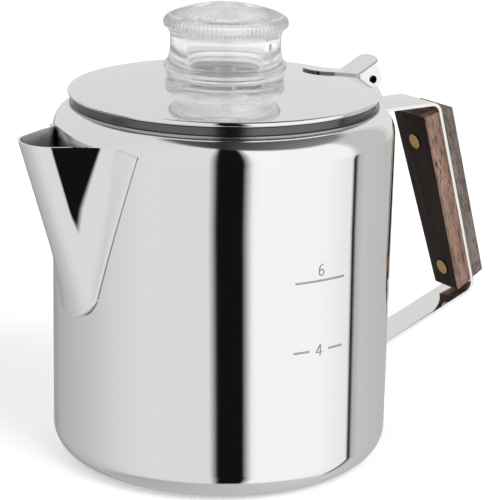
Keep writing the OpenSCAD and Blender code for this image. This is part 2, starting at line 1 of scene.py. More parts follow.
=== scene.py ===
# %% [markdown]
# # A stovetop percolator in polished steel
# The object is a pot of mirror polished sheet with a V spout, a clear knob and a wood gripped
# handle. Polished metal has almost no colour of its own: it shows the room around it. So the
# lesson spends as much care on the studio as on the pieces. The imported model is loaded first,
# because every size below is read from it or named beside it.

# %% Load the fixed frame
import math
import bmesh
import bpy
import numpy as np
from mathutils import Matrix, Vector


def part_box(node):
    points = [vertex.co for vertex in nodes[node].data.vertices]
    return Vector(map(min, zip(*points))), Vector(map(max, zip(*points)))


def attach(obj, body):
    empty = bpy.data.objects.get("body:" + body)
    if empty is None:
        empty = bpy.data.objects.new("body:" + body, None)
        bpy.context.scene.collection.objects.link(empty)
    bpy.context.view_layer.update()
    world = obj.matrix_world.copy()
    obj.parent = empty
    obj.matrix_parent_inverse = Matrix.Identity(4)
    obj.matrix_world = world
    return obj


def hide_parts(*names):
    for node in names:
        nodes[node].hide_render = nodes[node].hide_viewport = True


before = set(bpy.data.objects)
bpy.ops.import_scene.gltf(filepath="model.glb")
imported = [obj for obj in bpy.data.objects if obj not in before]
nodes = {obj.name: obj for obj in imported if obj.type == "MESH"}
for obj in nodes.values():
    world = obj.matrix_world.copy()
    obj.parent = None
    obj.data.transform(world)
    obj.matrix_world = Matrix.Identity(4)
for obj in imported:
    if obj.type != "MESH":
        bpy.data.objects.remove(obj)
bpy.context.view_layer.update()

MM = 0.001

# %% [markdown]
# ## Sizes that the pieces share
# A sheet metal pot is drawn from a few numbers: the wall's radius, the corner radii and the
# sheet's thickness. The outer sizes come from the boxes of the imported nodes, so they can't
# drift from the real part. Only what a box can't tell, such as a corner radius, is a number.

# %% Read the driving sizes from the frame
pot_low, pot_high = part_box("pot_body")
lid_low, lid_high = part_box("lid_cover")
knob_low, knob_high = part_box("knob")
spout_low, spout_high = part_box("spout")

pot_r = pot_high.x
neck_top = pot_high.z
sheet = 0.8 * MM
corner_r = 10 * MM
shoulder_sweep = math.radians(66)
step_w = 1.3 * MM
neck_h = 2.8 * MM
step_top = neck_top - neck_h
wall_top = step_top - sheet - corner_r * math.sin(shoulder_sweep)
shoulder_in = pot_r - corner_r
neck_r = shoulder_in + corner_r * math.cos(shoulder_sweep) - step_w
print("pot radius", round(pot_r / MM, 2), "wall top", round(wall_top / MM, 2),
      "neck radius", round(neck_r / MM, 2))

# %% [markdown]
# ## Camera
# A long lens from slightly above keeps the cylinder's sides nearly parallel, so the pot reads
# as straight. The camera is placed by its distance, height and turn round the pot, and its
# axes are built from the pitch, roll and yaw. A look-at constraint would be shorter, but it
# can't hold a small roll, and a plain matrix is easy to check.

# %% Place the camera
view_turn = math.radians(-33.8)
camera_back = 743.4 * MM
camera_up = 292.0 * MM
pitch, roll, yaw = 0.28381, 0.0220, 0.01394
lens_mm, sensor_mm = 151.2, 36
nearest_seen = 0.05

ahead = Vector((math.sin(yaw) * math.cos(pitch), math.cos(yaw) * math.cos(pitch),
                -math.sin(pitch)))
side = ahead.cross(Vector((0, 0, 1))).normalized()
above = side.cross(ahead)
right = math.cos(roll) * side + math.sin(roll) * above
up = -math.sin(roll) * side + math.cos(roll) * above
stand = Matrix((right, up, -ahead)).transposed().to_4x4()
stand.translation = Vector((0, -camera_back, camera_up))

camera = bpy.data.objects.new("camera", bpy.data.cameras.new("camera"))
bpy.context.scene.collection.objects.link(camera)
camera.data.lens = lens_mm
camera.data.sensor_width = sensor_mm
camera.data.clip_start = nearest_seen
camera.matrix_world = Matrix.Rotation(view_turn, 4, "Z") @ stand
bpy.context.scene.camera = camera
bpy.context.scene.view_settings.view_transform = "Standard"
print("camera at", [round(v, 3) for v in camera.matrix_world.translation])

# %% [markdown]
# ## Helpers for shader nodes
# A node tree in code stays readable when one small helper makes a node, sets its values and
# joins its inputs. A tuple of (node, output name) is a wire, and anything else is a value.

# %% Make and wire nodes
def set_inputs(tree, node, wires):
    """Wires or sets the named inputs of a node."""
    for name, value in wires.items():
        if isinstance(value, tuple) and len(value) == 2 and isinstance(value[0], bpy.types.Node):
            tree.links.new(value[0].outputs[value[1]], node.inputs[name])
        else:
            node.inputs[name].default_value = value


def add_node(tree, kind, wires=None, **settings):
    """A new node of that kind, with its settings made and its inputs wired or set."""
    node = tree.nodes.new(kind)
    for name, value in settings.items():
        setattr(node, name, value)
    set_inputs(tree, node, wires or {})
    return node


def mixed(tree, share, first, second):
    """Mixes two colours by a share; returns the wire of the result."""
    return add_node(tree, "ShaderNodeMix", {0: share, 6: first, 7: second}, data_type="RGBA"), 2


def maths(tree, operation, a, b=0.0, c=0.0):
    """One math node; returns the wire of its result."""
    return add_node(tree, "ShaderNodeMath", {0: a, 1: b, 2: c}, operation=operation), 0


def set_ramp(node, stops):
    """Puts (position, colour or grey) stops on a colour ramp."""
    ramp = node.color_ramp
    while len(ramp.elements) > 1:
        ramp.elements.remove(ramp.elements[-1])
    for i, (position, tone) in enumerate(stops):
        element = ramp.elements[0] if i == 0 else ramp.elements.new(position)
        element.position = position
        element.color = (*tone, 1) if hasattr(tone, "__len__") else (tone, tone, tone, 1)


def smooth_between(tree, value, low, high):
    """0 below low, 1 above high, with a smooth change between them."""
    node = add_node(tree, "ShaderNodeMapRange",
                    {"Value": value, "From Min": low, "From Max": high},
                    interpolation_type="SMOOTHSTEP")
    return node, "Result"


print("node helpers:", ", ".join(f.__name__ for f in (add_node, maths, mixed, smooth_between)))

# %% [markdown]
# ## The studio
# A polished cylinder turns each direction of the room into a vertical band, so the bands of
# light and dark on the pot are drawn in the room and not in the metal. The room is a world
# shader: one ramp goes round the horizon for what the wall sees below eye level, a second
# one for what the shoulder and lid see above it, and a dark ceiling panel closes the top.
# Cards and lamps would give the same, but the world has no gaps at the sides and the back.

# %% Set out the bands of light round the horizon
DARK = 0.006
wall_light = [(-180, 0.44), (-158, 0.34), (-145, 0.44), (-130, 0.49), (-100, 0.58), (-78, 0.69),
              (-52, 0.76), (-9.6, 0.755), (-4.0, DARK), (12.6, DARK), (19.4, 0.93), (24, 0.985),
              (70, 0.98), (90, 0.88), (95.2, 0.86), (96.3, 0.03), (98.6, 0.03), (101, 0.46),
              (108, 0.58), (118, 0.56), (146, 0.52), (165, 0.5), (180, 0.44)]
upper_light = [(-180, 0.73), (-150, 0.74), (-90, 0.73), (-40, 0.77), (-9.6, 0.77), (-4.0, DARK),
               (12.6, DARK), (19.4, 0.95), (24, 1.0), (92, 0.98), (96, 0.72), (101, 0.56),
               (134, 0.56), (146, 0.78), (180, 0.75)]

scene = bpy.context.scene
world = bpy.data.worlds.new("studio")
scene.world = world
world.use_nodes = True
room = world.node_tree
room.nodes.clear()

place = add_node(room, "ShaderNodeTexCoord")
turned_view = add_node(room, "ShaderNodeVectorRotate",
                       {"Vector": (place, "Generated"), "Angle": -view_turn},
                       rotation_type="Z_AXIS")
axes = add_node(room, "ShaderNodeSeparateXYZ", {"Vector": (turned_view, "Vector")})
towards = maths(room, "MULTIPLY", (axes, "Y"), -1.0)
turn = maths(room, "ARCTAN2", (axes, "X"), towards)
around = maths(room, "MULTIPLY_ADD", turn, 1 / (2 * math.pi), 0.5)
print("room bands:", len(wall_light), "below eye level and", len(upper_light), "above it")

# %% [markdown]
# ## Walls, table and ceiling
# The bands lean a little where the room falls below the pot, as tall cards do that stand
# askew. Further down a grey table takes over, and it is what the base corner shows. The change
# from one to the next is always smooth, because a mirror shows a hard join as a scratch.

# %% Paint the walls, the table and the ceiling panel
lean_low, lean_high = -0.4, -0.27
lean_foot, lean_head = -4.4, -0.24
wall_end, upper_start = -11, -3
table_full, table_gone = -52, -44
table_grey, table_slant = 0.52, 0.16
panel_turn, panel_rise = math.radians(112), math.radians(76)
panel_edge, panel_full = 37, 28
panel_dark, panel_slant = 0.03, 0.32


def sine(degrees):
    """Height on the unit sphere of a direction at that elevation."""
    return math.sin(math.radians(degrees))


def horizon_ramp(bands, where):
    """A colour ramp round the room, its bands given in degrees to the camera's right."""
    node = add_node(room, "ShaderNodeValToRGB", {"Fac": where})
    set_ramp(node, [(0.5 + degrees / 360, tone) for degrees, tone in bands])
    return node, "Color"


lean = add_node(room, "ShaderNodeMapRange",
                {"Value": (axes, "Z"), "From Min": lean_low, "From Max": lean_high,
                 "To Min": lean_foot / 360, "To Max": lean_head / 360})
leaned = maths(room, "ADD", around, (lean, "Result"))
rise = smooth_between(room, (axes, "Z"), sine(wall_end), sine(upper_start))
walls = mixed(room, rise, horizon_ramp(wall_light, leaned), horizon_ramp(upper_light, leaned))

table_edge = smooth_between(room, (axes, "Z"), sine(table_full), sine(table_gone))
table_tone = maths(room, "MULTIPLY_ADD", (axes, "X"), table_slant, table_grey)
with_table = mixed(room, table_edge, table_tone, walls)

panel_way = (math.sin(panel_turn) * math.cos(panel_rise),
             -math.cos(panel_turn) * math.cos(panel_rise), math.sin(panel_rise))
panel_dot = add_node(room, "ShaderNodeVectorMath",
                     {0: (turned_view, "Vector"), 1: panel_way}, operation="DOT_PRODUCT")
panel_in = smooth_between(room, (panel_dot, "Value"), math.cos(math.radians(panel_edge)),
                          math.cos(math.radians(panel_full)))
sideways = maths(room, "ABSOLUTE", (axes, "X"))
panel_tone = maths(room, "MULTIPLY_ADD", sideways, panel_slant, panel_dark)
studio = mixed(room, panel_in, with_table, panel_tone)
print("ceiling panel at", [round(v, 2) for v in panel_way])

# %% [markdown]
# ## What the camera sees of the room
# The metal has to see the bands, but behind the pot there should only be white. A Light Path
# node tells the rays apart: the camera's own get a plain backdrop, all others the studio, and
# diffuse rays get half as much again, so that the wood and the floor aren't dull.

# %% Join the studio and the backdrop
backdrop_strength = 1.05
diffuse_gain = 0.5

path = add_node(room, "ShaderNodeLightPath")
gain = maths(room, "MULTIPLY_ADD", (path, "Is Diffuse Ray"), diffuse_gain, 1.0)
seen_in_metal = add_node(room, "ShaderNodeBackground", {"Color": studio, "Strength": gain})
backdrop = add_node(room, "ShaderNodeBackground",
                    {"Color": (1, 1, 1, 1), "Strength": backdrop_strength})
chosen = add_node(room, "ShaderNodeMixShader", {0: (path, "Is Camera Ray"),
                                                1: (seen_in_metal, 0), 2: (backdrop, 0)})
add_node(room, "ShaderNodeOutputWorld", {"Surface": (chosen, 0)})
print("room nodes:", len(room.nodes))

# %% [markdown]
# ## Floor and key light
# The pot stands on a pale sweep. Glossy rays don't see it, so the base corner shows the
# studio's grey table and not a bright sheet. A little light of its own keeps the sweep white
# up to the pot's shadow. A soft key light from the right gives the wood its sheen and lays a
# faint shadow to the left.

# %% Lay the floor and hang the key light
floor_half, floor_gap = 4.0, 0.05 * MM
floor_tone, floor_glow = 0.93, 0.22
key_size, key_watts = 0.9, 9
key_from = Vector((0.75, -0.75, 1.0))


def link(obj):
    """Puts a new object in the scene."""
    scene.collection.objects.link(obj)
    return obj


def mesh_object(name, points, faces, smooth=True):
    """A mesh object from points in metres and faces as index lists."""
    mesh = bpy.data.meshes.new(name)
    mesh.from_pydata([tuple(p) for p in points], [], [tuple(f) for f in faces])
    mesh.validate()
    mesh.update()
    for polygon in mesh.polygons:
        polygon.use_smooth = smooth
    return link(bpy.data.objects.new(name, mesh))


def new_material(name):
    """A material with its own Principled BSDF, and its tree and shader."""
    material = bpy.data.materials.new(name)
    material.use_nodes = True
    return material, material.node_tree, material.node_tree.nodes["Principled BSDF"]


corners = [(-floor_half, -floor_half), (floor_half, -floor_half),
           (floor_half, floor_half), (-floor_half, floor_half)]
floor = mesh_object("floor", [(x, y, pot_low.z - floor_gap) for x, y in corners],
                    [(0, 1, 2, 3)], smooth=False)
floor_paint, floor_tree, floor_shader = new_material("pale_sweep")
set_inputs(floor_tree, floor_shader,
           {"Base Color": (floor_tone, floor_tone, floor_tone, 1), "Roughness": 0.9,
            "Specular IOR Level": 0.1, "Emission Color": (1, 1, 1, 1),
            "Emission Strength": floor_glow})
floor.data.materials.append(floor_paint)
floor.visible_glossy = False

key = link(bpy.data.objects.new("key_light", bpy.data.lights.new("key_light", "AREA")))
key.data.shape = "RECTANGLE"
key.data.size = key.data.size_y = key_size
key.data.energy = key_watts
key.location = Matrix.Rotation(view_turn, 3, "Z") @ key_from
key.rotation_euler = (-key.location).to_track_quat("-Z", "Y").to_euler()
key.visible_glossy = False
print("key light at", [round(v, 2) for v in key.location])

# %% [markdown]
# ## Shared shader effects
# Three effects come back in several finishes, so each is a node group with named sockets.
# `hand_wear` gives the small changes of gloss that polishing and wiping leave. `grain_lines`
# draws streaks along one direction, for turned metal and for wood. `fine_ripple` is a height
# for a Bump node, because no sheet or moulding is perfectly even.

# %% Build the hand wear
def new_group(name, inputs, outputs):
    """An empty shader node group with named inputs and outputs."""
    group = bpy.data.node_groups.new(name, "ShaderNodeTree")
    for title, kind, value in inputs:
        socket = group.interface.new_socket(name=title, in_out="INPUT", socket_type=kind)
        socket.default_value = value
    for title, kind in outputs:
        group.interface.new_socket(name=title, in_out="OUTPUT", socket_type=kind)
    ins = group.nodes.new("NodeGroupInput")
    outs = group.nodes.new("NodeGroupOutput")
    return group, ins, outs


FLOAT, VECTOR = "NodeSocketFloat", "NodeSocketVector"


def build_hand_wear():
    """Cloudy smudges and short wiping marks, as a roughness."""
    smudge_from, smudge_to = 0.42, 0.72
    wipe_from, wipe_to, wipe_share = 0.58, 0.75, 0.25
    group, ins, outs = new_group(
        "hand_wear", [("Vector", VECTOR, (0, 0, 0)), ("Smudge Scale", FLOAT, 40.0),
                      ("Roughest", FLOAT, 0.1), ("Smoothest", FLOAT, 0.03)],
        [("Roughness", FLOAT)])
    cloud = add_node(group, "ShaderNodeTexNoise",
                     {"Vector": (ins, "Vector"), "Scale": (ins, "Smudge Scale"), "Detail": 5.0,
                      "Roughness": 0.6})
    wipe = add_node(group, "ShaderNodeTexNoise",
                    {"Vector": (ins, "Vector"), "Scale": 900.0, "Detail": 2.0, "Distortion": 1.5})
    smudges = smooth_between(group, (cloud, "Fac"), smudge_from, smudge_to)
    wipes = smooth_between(group, (wipe, "Fac"), wipe_from, wipe_to)
    share = maths(group, "MULTIPLY_ADD", wipes, wipe_share, smudges)
    result = add_node(group, "ShaderNodeMapRange",
                      {"Value": share, "From Min": 0.0, "From Max": 1 + wipe_share,
                       "To Min": (ins, "Smoothest"), "To Max": (ins, "Roughest")})
    set_inputs(group, outs, {"Roughness": (result, "Result")})
    return group


hand_wear = build_hand_wear()
print("effect group:", hand_wear.name, "with", len(hand_wear.nodes), "nodes")


# %% Build the grain lines
def build_grain_lines():
    """Streaks along one axis of the vector: the others are drawn out thin."""
    group, ins, outs = new_group(
        "grain_lines", [("Vector", VECTOR, (0, 0, 0)), ("Stretch", VECTOR, (60.0, 60.0, 2.0)),
                        ("Waver", FLOAT, 0.4)],
        [("Streak", FLOAT), ("Fine", FLOAT)])
    drawn = add_node(group, "ShaderNodeVectorMath",
                     {0: (ins, "Vector"), 1: (ins, "Stretch")}, operation="MULTIPLY")
    broad = add_node(group, "ShaderNodeTexNoise",
                     {"Vector": (drawn, "Vector"), "Scale": 6.0, "Detail": 6.0, "Roughness": 0.65,
                      "Distortion": (ins, "Waver")})
    narrow = add_node(group, "ShaderNodeTexNoise",
                      {"Vector": (drawn, "Vector"), "Scale": 34.0, "Detail": 4.0, "Roughness": 0.7})
    set_inputs(group, outs, {"Streak": (broad, "Fac"), "Fine": (narrow, "Fac")})
    return group


grain_lines = build_grain_lines()
print("effect group:", grain_lines.name, "with", len(grain_lines.nodes), "nodes")


# %% Build the fine ripple
def build_fine_ripple():
    """A low uneven height, from broad dents down to a fine orange peel."""
    group, ins, outs = new_group(
        "fine_ripple", [("Vector", VECTOR, (0, 0, 0)), ("Broad Scale", FLOAT, 25.0),
                        ("Fine Scale", FLOAT, 400.0), ("Fine Share", FLOAT, 0.3)],
        [("Height", FLOAT)])
    broad = add_node(group, "ShaderNodeTexNoise",
                     {"Vector": (ins, "Vector"), "Scale": (ins, "Broad Scale"), "Detail": 2.0})
    fine = add_node(group, "ShaderNodeTexNoise",
                    {"Vector": (ins, "Vector"), "Scale": (ins, "Fine Scale"), "Detail": 3.0})
    height = maths(group, "MULTIPLY_ADD", (fine, "Fac"), (ins, "Fine Share"), (broad, "Fac"))
    set_inputs(group, outs, {"Height": height})
    return group


fine_ripple = build_fine_ripple()
print("effect group:", fine_ripple.name, "with", len(fine_ripple.nodes), "nodes")

# %% [markdown]
# ## Metals
# All the metals are one recipe with different values: a plain metallic colour, the roughness
# from `hand_wear`, and a very weak bump from `fine_ripple`. Polished steel has a roughness so
# low that the bands stay crisp, and the satin pieces are turned or tumbled. The inside of the
# spout is darker unpolished steel, and the pressed marks are darker grey. Dark steel on the neck
# below the lid, the band under the step and the leaf's edge is painted shade.
# An image of scratched metal would repeat and blur close by, a procedure doesn't.

# %% Write the recipe for a metal
streak_height, streak_rough = 0.8, 0.12
dent_depth = 0.0004


def place_group(tree, group, wires):
    """Puts a group node in a material and wires it."""
    return add_node(tree, "ShaderNodeGroup", wires, node_tree=group)


def metal(name, colour, smoothest, roughest, dent=0.02, smudge=40.0, streak=None):
    """A metal finish. streak is the stretch of turned or brushed lines, or None."""
    material, tree, shader = new_material(name)
    spot = (add_node(tree, "ShaderNodeTexCoord"), "Object")
    wear = place_group(tree, hand_wear, {"Vector": spot, "Smudge Scale": smudge,
                                         "Roughest": roughest, "Smoothest": smoothest})
    ripple = place_group(tree, fine_ripple, {"Vector": spot})
    height, rough = (ripple, "Height"), (wear, "Roughness")
    if streak:
        lines = place_group(tree, grain_lines, {"Vector": spot, "Stretch": streak})
        height = maths(tree, "MULTIPLY_ADD", (lines, "Fine"), streak_height, height)
        rough = maths(tree, "MULTIPLY_ADD", (lines, "Streak"), streak_rough, rough)
    bump = add_node(tree, "ShaderNodeBump",
                    {"Height": height, "Strength": dent, "Distance": dent_depth})
    set_inputs(tree, shader, {"Base Color": (*colour, 1), "Metallic": 1.0, "Roughness": rough,
                              "Normal": (bump, "Normal")})
    return material


print("metal recipe: dents up to", dent_depth / MM, "mm deep")

# %% Mix the metals
polished_steel = metal("polished_steel", (0.915, 0.91, 0.9), smoothest=0.025, roughest=0.06,
                       dent=0.012)
satin_steel = metal("satin_steel", (0.78, 0.775, 0.765), smoothest=0.16, roughest=0.26,
                    dent=0.05, streak=(8.0, 8.0, 260.0))
satin_aluminium = metal("satin_aluminium", (0.83, 0.835, 0.84), smoothest=0.24, roughest=0.36,
                        dent=0.06, streak=(10.0, 10.0, 180.0))
# Painted shade: near black steel for the neck under the lid and the pad end of the leaf's edge.
painted_shade_steel = metal("painted_shade_steel", (0.14, 0.14, 0.137), smoothest=0.16, roughest=0.28, dent=0.03)
inner_steel = metal("unpolished_steel", (0.5, 0.5, 0.49), smoothest=0.26, roughest=0.36,
                    dent=0.05)
# Darker grey for the pressed marks; the same grey is painted shade on the band under the step and
# along the leaf's tab edge.
mark_and_shade_steel = metal("pressed_mark_and_shade", (0.42, 0.42, 0.41), smoothest=0.2, roughest=0.34, dent=0.03)
# The pin's own darker steel, deepened to near black as painted shade for its hollow end.
dark_pin_steel = metal("dark_pin_steel", (0.05, 0.049, 0.048), smoothest=0.24, roughest=0.4,
                       dent=0.05)
# Painted shadow: near black for the pin's bores and for a ring round each rivet head.
shadow_steel = metal("painted_shadow", (0.012, 0.012, 0.012), smoothest=0.4, roughest=0.5)
brass = metal("brass", (0.5, 0.33, 0.12), smoothest=0.2, roughest=0.42, dent=0.3, smudge=420.0)
print("metals:", ", ".join(m.name for m in (
    polished_steel, satin_steel, satin_aluminium, painted_shade_steel, inner_steel, mark_and_shade_steel,
    dark_pin_steel, shadow_steel, brass)))

# %% [markdown]
# ## Wood
# The grips are a dense reddish brown wood, oiled and a little dusty with use. Wood is drawn by
# long fibres, so the grain runs along the handle's leg: the coordinates are turned to the leg
# and then stretched. A ramp maps the streaks to three browns, dark pores cut short lines into
# them, and both go to the bump as well, so that the grain catches the light.

# %% Write the recipe for the wood
fibre_stops = (0.3, 0.5, 0.72)
leg_top = Vector((92.7, 122.8)) * MM
leg_foot = Vector((117.8, 43.5)) * MM
leg_way = (leg_foot - leg_top).normalized()
leg_angle = math.atan2(leg_way.y, leg_way.x)
fibre_stretch, pore_stretch = (4.0, 46.0, 46.0), (7.0, 62.0, 62.0)
pore_from, pore_to = 0.52, 0.62
pore_dark, pore_depth, grain_rough = 0.35, 0.8, 0.25
grain_bump, grain_depth = 0.35, 0.0002


def wood(name, dark, middle, pale, sheen_rough, shine=0.45):
    """Long grained wood with dark pores; the grain runs along the handle's leg."""
    material, tree, shader = new_material(name)
    spot = add_node(tree, "ShaderNodeTexCoord")
    along = (add_node(tree, "ShaderNodeVectorRotate",
                      {"Vector": (spot, "Object"), "Angle": leg_angle},
                      rotation_type="Y_AXIS"), "Vector")
    lines = place_group(tree, grain_lines,
                        {"Vector": along, "Stretch": fibre_stretch, "Waver": 0.6})
    pores = place_group(tree, grain_lines,
                        {"Vector": along, "Stretch": pore_stretch, "Waver": 0.2})
    tones = add_node(tree, "ShaderNodeValToRGB", {"Fac": (lines, "Streak")})
    set_ramp(tones, list(zip(fibre_stops, (dark, middle, pale))))
    pore = smooth_between(tree, (pores, "Fine"), pore_from, pore_to)
    colour = mixed(tree, pore, (tones, "Color"), (*[v * pore_dark for v in dark], 1))
    height = maths(tree, "MULTIPLY_ADD", pore, -pore_depth, (lines, "Fine"))
    bump = add_node(tree, "ShaderNodeBump",
                    {"Height": height, "Strength": grain_bump, "Distance": grain_depth})
    rough = maths(tree, "MULTIPLY_ADD", (lines, "Fine"), grain_rough, sheen_rough)
    set_inputs(tree, shader, {"Base Color": colour, "Roughness": rough,
                              "Normal": (bump, "Normal"), "Specular IOR Level": shine})
    return material


print("wood recipe: grain turned by", round(math.degrees(leg_angle), 1), "degrees")

# %% Choose three woods: fresh, near black as painted shade, and worn
rosewood_in = wood("rosewood", (0.07, 0.036, 0.025), (0.215, 0.122, 0.086),
                   (0.34, 0.215, 0.155), sheen_rough=0.34)
# Painted shade: near black wood for the inner grip's side that faces the pot.
shade_rosewood = wood("rosewood_painted_shade", (0.006, 0.002, 0.001), (0.02, 0.007, 0.004),
                     (0.045, 0.017, 0.01), sheen_rough=0.42, shine=0.2)
rosewood_out = wood("rosewood_worn", (0.055, 0.04, 0.033), (0.125, 0.096, 0.08),
                    (0.2, 0.16, 0.14), sheen_rough=0.36)
print("woods:", rosewood_in.name, shade_rosewood.name, rosewood_out.name)

# %% [markdown]
# ## Clear moulding
# The knob is a thick clear moulding. It needs real transmission and a real inside: the walls,
# the hollow and the flutes bend what is behind them, and that is what makes it read as clear.
# The index and the transmission stay plain numbers, and only the roughness and a weak bump vary.

# %% Mix the clear plastic
def clear_plastic():
    """Clear moulded plastic with faint flow lines."""
    material, tree, shader = new_material("clear_knob")
    spot = (add_node(tree, "ShaderNodeTexCoord"), "Object")
    wear = place_group(tree, hand_wear, {"Vector": spot, "Smudge Scale": 120.0,
                                         "Roughest": 0.07, "Smoothest": 0.03})
    ripple = place_group(tree, fine_ripple, {"Vector": spot, "Broad Scale": 90.0,
                                             "Fine Scale": 300.0, "Fine Share": 0.1})
    bump = add_node(tree, "ShaderNodeBump",
                    {"Height": (ripple, "Height"), "Strength": 0.12, "Distance": 0.0006})
    # A faint white emission is painted light: the clear plastic glows a little with no lamp.
    set_inputs(tree, shader, {"Base Color": (0.99, 0.992, 0.99, 1), "Transmission Weight": 0.84,
                              "Emission Color": (1, 1, 1, 1), "Emission Strength": 0.02,
                              "IOR": 1.49, "Roughness": (wear, "Roughness"),
                              "Normal": (bump, "Normal")})
    return material


clear_knob = clear_plastic()
print("clear material:", clear_knob.name)

# %% [markdown]
# ## Turned shapes
# Most of the pot is drawn or spun, so it is a profile turned round the axis. A screw modifier
# could do it, but a grid in code lets the radius change with the angle, which the flutes and
# the bayonet notches need. Long straight runs get extra rings beside each bend, because the
# smooth normals would otherwise bend the reflections over the whole wall.

# %% Helpers for profiles and turned meshes
def arc(centre, radius, start, end, steps):
    """Points on an arc, from the start angle to the end angle in degrees."""
    angles = np.radians(np.linspace(start, end, steps + 1))
    return [(centre[0] + radius * math.cos(a), centre[1] + radius * math.sin(a)) for a in angles]


def guarded(points, guard=0.25 * MM):
    """The same closed profile with a ring close to both ends of each long straight run."""
    out = []
    for p, q in zip(points, points[1:] + points[:1]):
        out.append(p)
        run = math.hypot(q[0] - p[0], q[1] - p[1])
        if run > 4 * guard:
            for share in (guard / run, 1 - guard / run):
                out.append((p[0] + (q[0] - p[0]) * share, p[1] + (q[1] - p[1]) * share))
    return out


def tidy(points, least=0.002 * MM):
    """The profile without points that fall on the one before."""
    out = [points[0]]
    for p in points[1:]:
        if math.hypot(p[0] - out[-1][0], p[1] - out[-1][1]) > least:
            out.append(p)
    return out


def sharpen(obj, degrees=35):
    """Smooth shading everywhere but at edges that bend by more than the angle."""
    obj.data.set_sharp_from_angle(angle=math.radians(degrees))
    return obj


def faced_out(obj, weld=0.0, ease=0.0, sharper_than=55, clamp=True):
    """Turns a closed mesh's faces outwards; may weld it first and round its edges after."""
    work = bmesh.new()
    work.from_mesh(obj.data)
    if weld:
        bmesh.ops.remove_doubles(work, verts=work.verts, dist=weld)
    bmesh.ops.recalc_face_normals(work, faces=work.faces)
    if ease:
        least = math.radians(sharper_than)
        rim = [e for e in work.edges if len(e.link_faces) == 2 and e.calc_face_angle(0) > least]
        bmesh.ops.bevel(work, geom=rim, offset=ease, segments=2, affect="EDGES",
                        clamp_overlap=clamp)
    work.to_mesh(obj.data)
    work.free()
    return obj


print("profile helpers:", ", ".join(f.__name__ for f in (arc, guarded, tidy)))


# %% Turn a profile round the axis
def turned(name, profile, segments, shape=None):
    """Turns a closed profile of (radius, height) round Z. shape(angle, r, z) may move it."""
    count = len(profile)
    points = []
    for s in range(segments):
        a = 2 * math.pi * s / segments
        for r, z in profile:
            r2, z2 = shape(a, r, z) if shape else (r, z)
            points.append((r2 * math.cos(a), r2 * math.sin(a), z2))
    faces = []
    for s in range(segments):
        n = (s + 1) % segments
        for i in range(count):
            j = (i + 1) % count
            faces.append((s * count + i, n * count + i, n * count + j, s * count + j))
    return sharpen(faced_out(mesh_object(name, points, faces), weld=1e-7))


print("turning helper:", turned.__name__)

# %% [markdown]
# ## Handing a piece over
# Each finished piece rides on one body of the model, takes its material, and stands
# for the imported nodes that it replaces. Real sheet often has two finishes on one piece, where
# the polishing wheel doesn't reach. A second material on chosen faces gives that, and it also
# lays painted shade on faces in shade. The mesh stays in one piece.

# %% Helpers that finish a piece
def finish_piece(obj, body, material, slot, *replaced):
    """Gives a piece its material, its body and the nodes that it stands for; slot is not used."""
    obj.data.materials.clear()
    obj.data.materials.append(material)
    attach(obj, body)
    if replaced:
        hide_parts(*replaced)
    return obj


# Most second finishes below are painted shade: dark faces put where the lid, the pot or a hollow
# casts shade.
def second_finish(obj, material, chosen):
    """Gives the faces that pass the test a second material; returns how many."""
    obj.data.materials.append(material)
    last = len(obj.data.materials) - 1
    picked = [f for f in obj.data.polygons if chosen(f)]
    for face in picked:
        face.material_index = last
    return len(picked)


def settle(obj):
    """Applies every modifier of a piece to its mesh."""
    bpy.context.view_layer.update()
    graph = bpy.context.evaluated_depsgraph_get()
    mesh = bpy.data.meshes.new_from_object(obj.evaluated_get(graph))
    obj.modifiers.clear()
    obj.data = mesh
    return obj


print("piece helpers:", ", ".join(f.__name__ for f in (finish_piece, second_finish, settle)))

# %% [markdown]
# ## Pot body
# The pot is one drawn sheet: flat base, round corner, straight wall, round shoulder, a small
# step and an upright neck that the lid sits round. The step's edge is eased by a fifth of a
# millimetre, because it is that small round which shows as the bright and dark lines under
# the lid.

# %% Draw the pot
pot_segments = 288


def pot_profile():
    """Closed section of the sheet, outside first."""
    base_c, top_c = (pot_r - corner_r, corner_r), (shoulder_in, wall_top)
    sweep = math.degrees(shoulder_sweep)
    ease = 0.22 * MM
    edge_r = neck_r + step_w
    inner_r = neck_r - sheet
    inside = corner_r - sheet
    points = [(0, 0), *arc(base_c, corner_r, -90, 0, 28), *arc(top_c, corner_r, 0, sweep, 40)]
    points += arc((edge_r - ease, step_top - ease), ease, 20, 90, 6)
    points += arc((neck_r + ease, step_top + ease), ease, 270, 180, 6)
    points += arc((neck_r - sheet / 2, neck_top - sheet / 2), sheet / 2, 0, 180, 12)
    points += [(inner_r, step_top - 2 * sheet),
               (shoulder_in + inside * math.cos(shoulder_sweep),
                wall_top + inside * math.sin(shoulder_sweep))]
    points += arc(top_c, inside, sweep, 0, 24)
    points += arc(base_c, inside, 0, -90, 24)
    points += [(0, sheet)]
    return guarded(tidy(points))


pot = turned("pot_shell", pot_profile(), pot_segments)
print("pot sheet:", len(pot.data.vertices), "points")

# %% [markdown]
# ## The V of the spout
# The pouring holes only go where the spout's channel covers them, so the V comes before they
# are cut. From above, the sheet is a round nose with a straight flank on each side, and the
# nose leans in towards its foot until it meets the wall. Two short formulas say it all.

# %% Set out the spout's V
wall_gap = 0.05 * MM
spout_lean = math.tan(math.radians(17.4))
spout_reach = 20.8 * MM
spout_sheet = 0.8 * MM
spout_r = pot_r + wall_gap + spout_sheet
spout_top = spout_high.z
flange_low = spout_low.z - wall_gap
flange_tip = 14.5 * MM
flange_slope = math.radians(18.2)
nose_round = 12 * MM
flank_turn = math.radians(28.2)


def nose_x(z):
    """How far the middle of the spout reaches from the axis."""
    return pot_r + spout_reach - (spout_top - z) * spout_lean


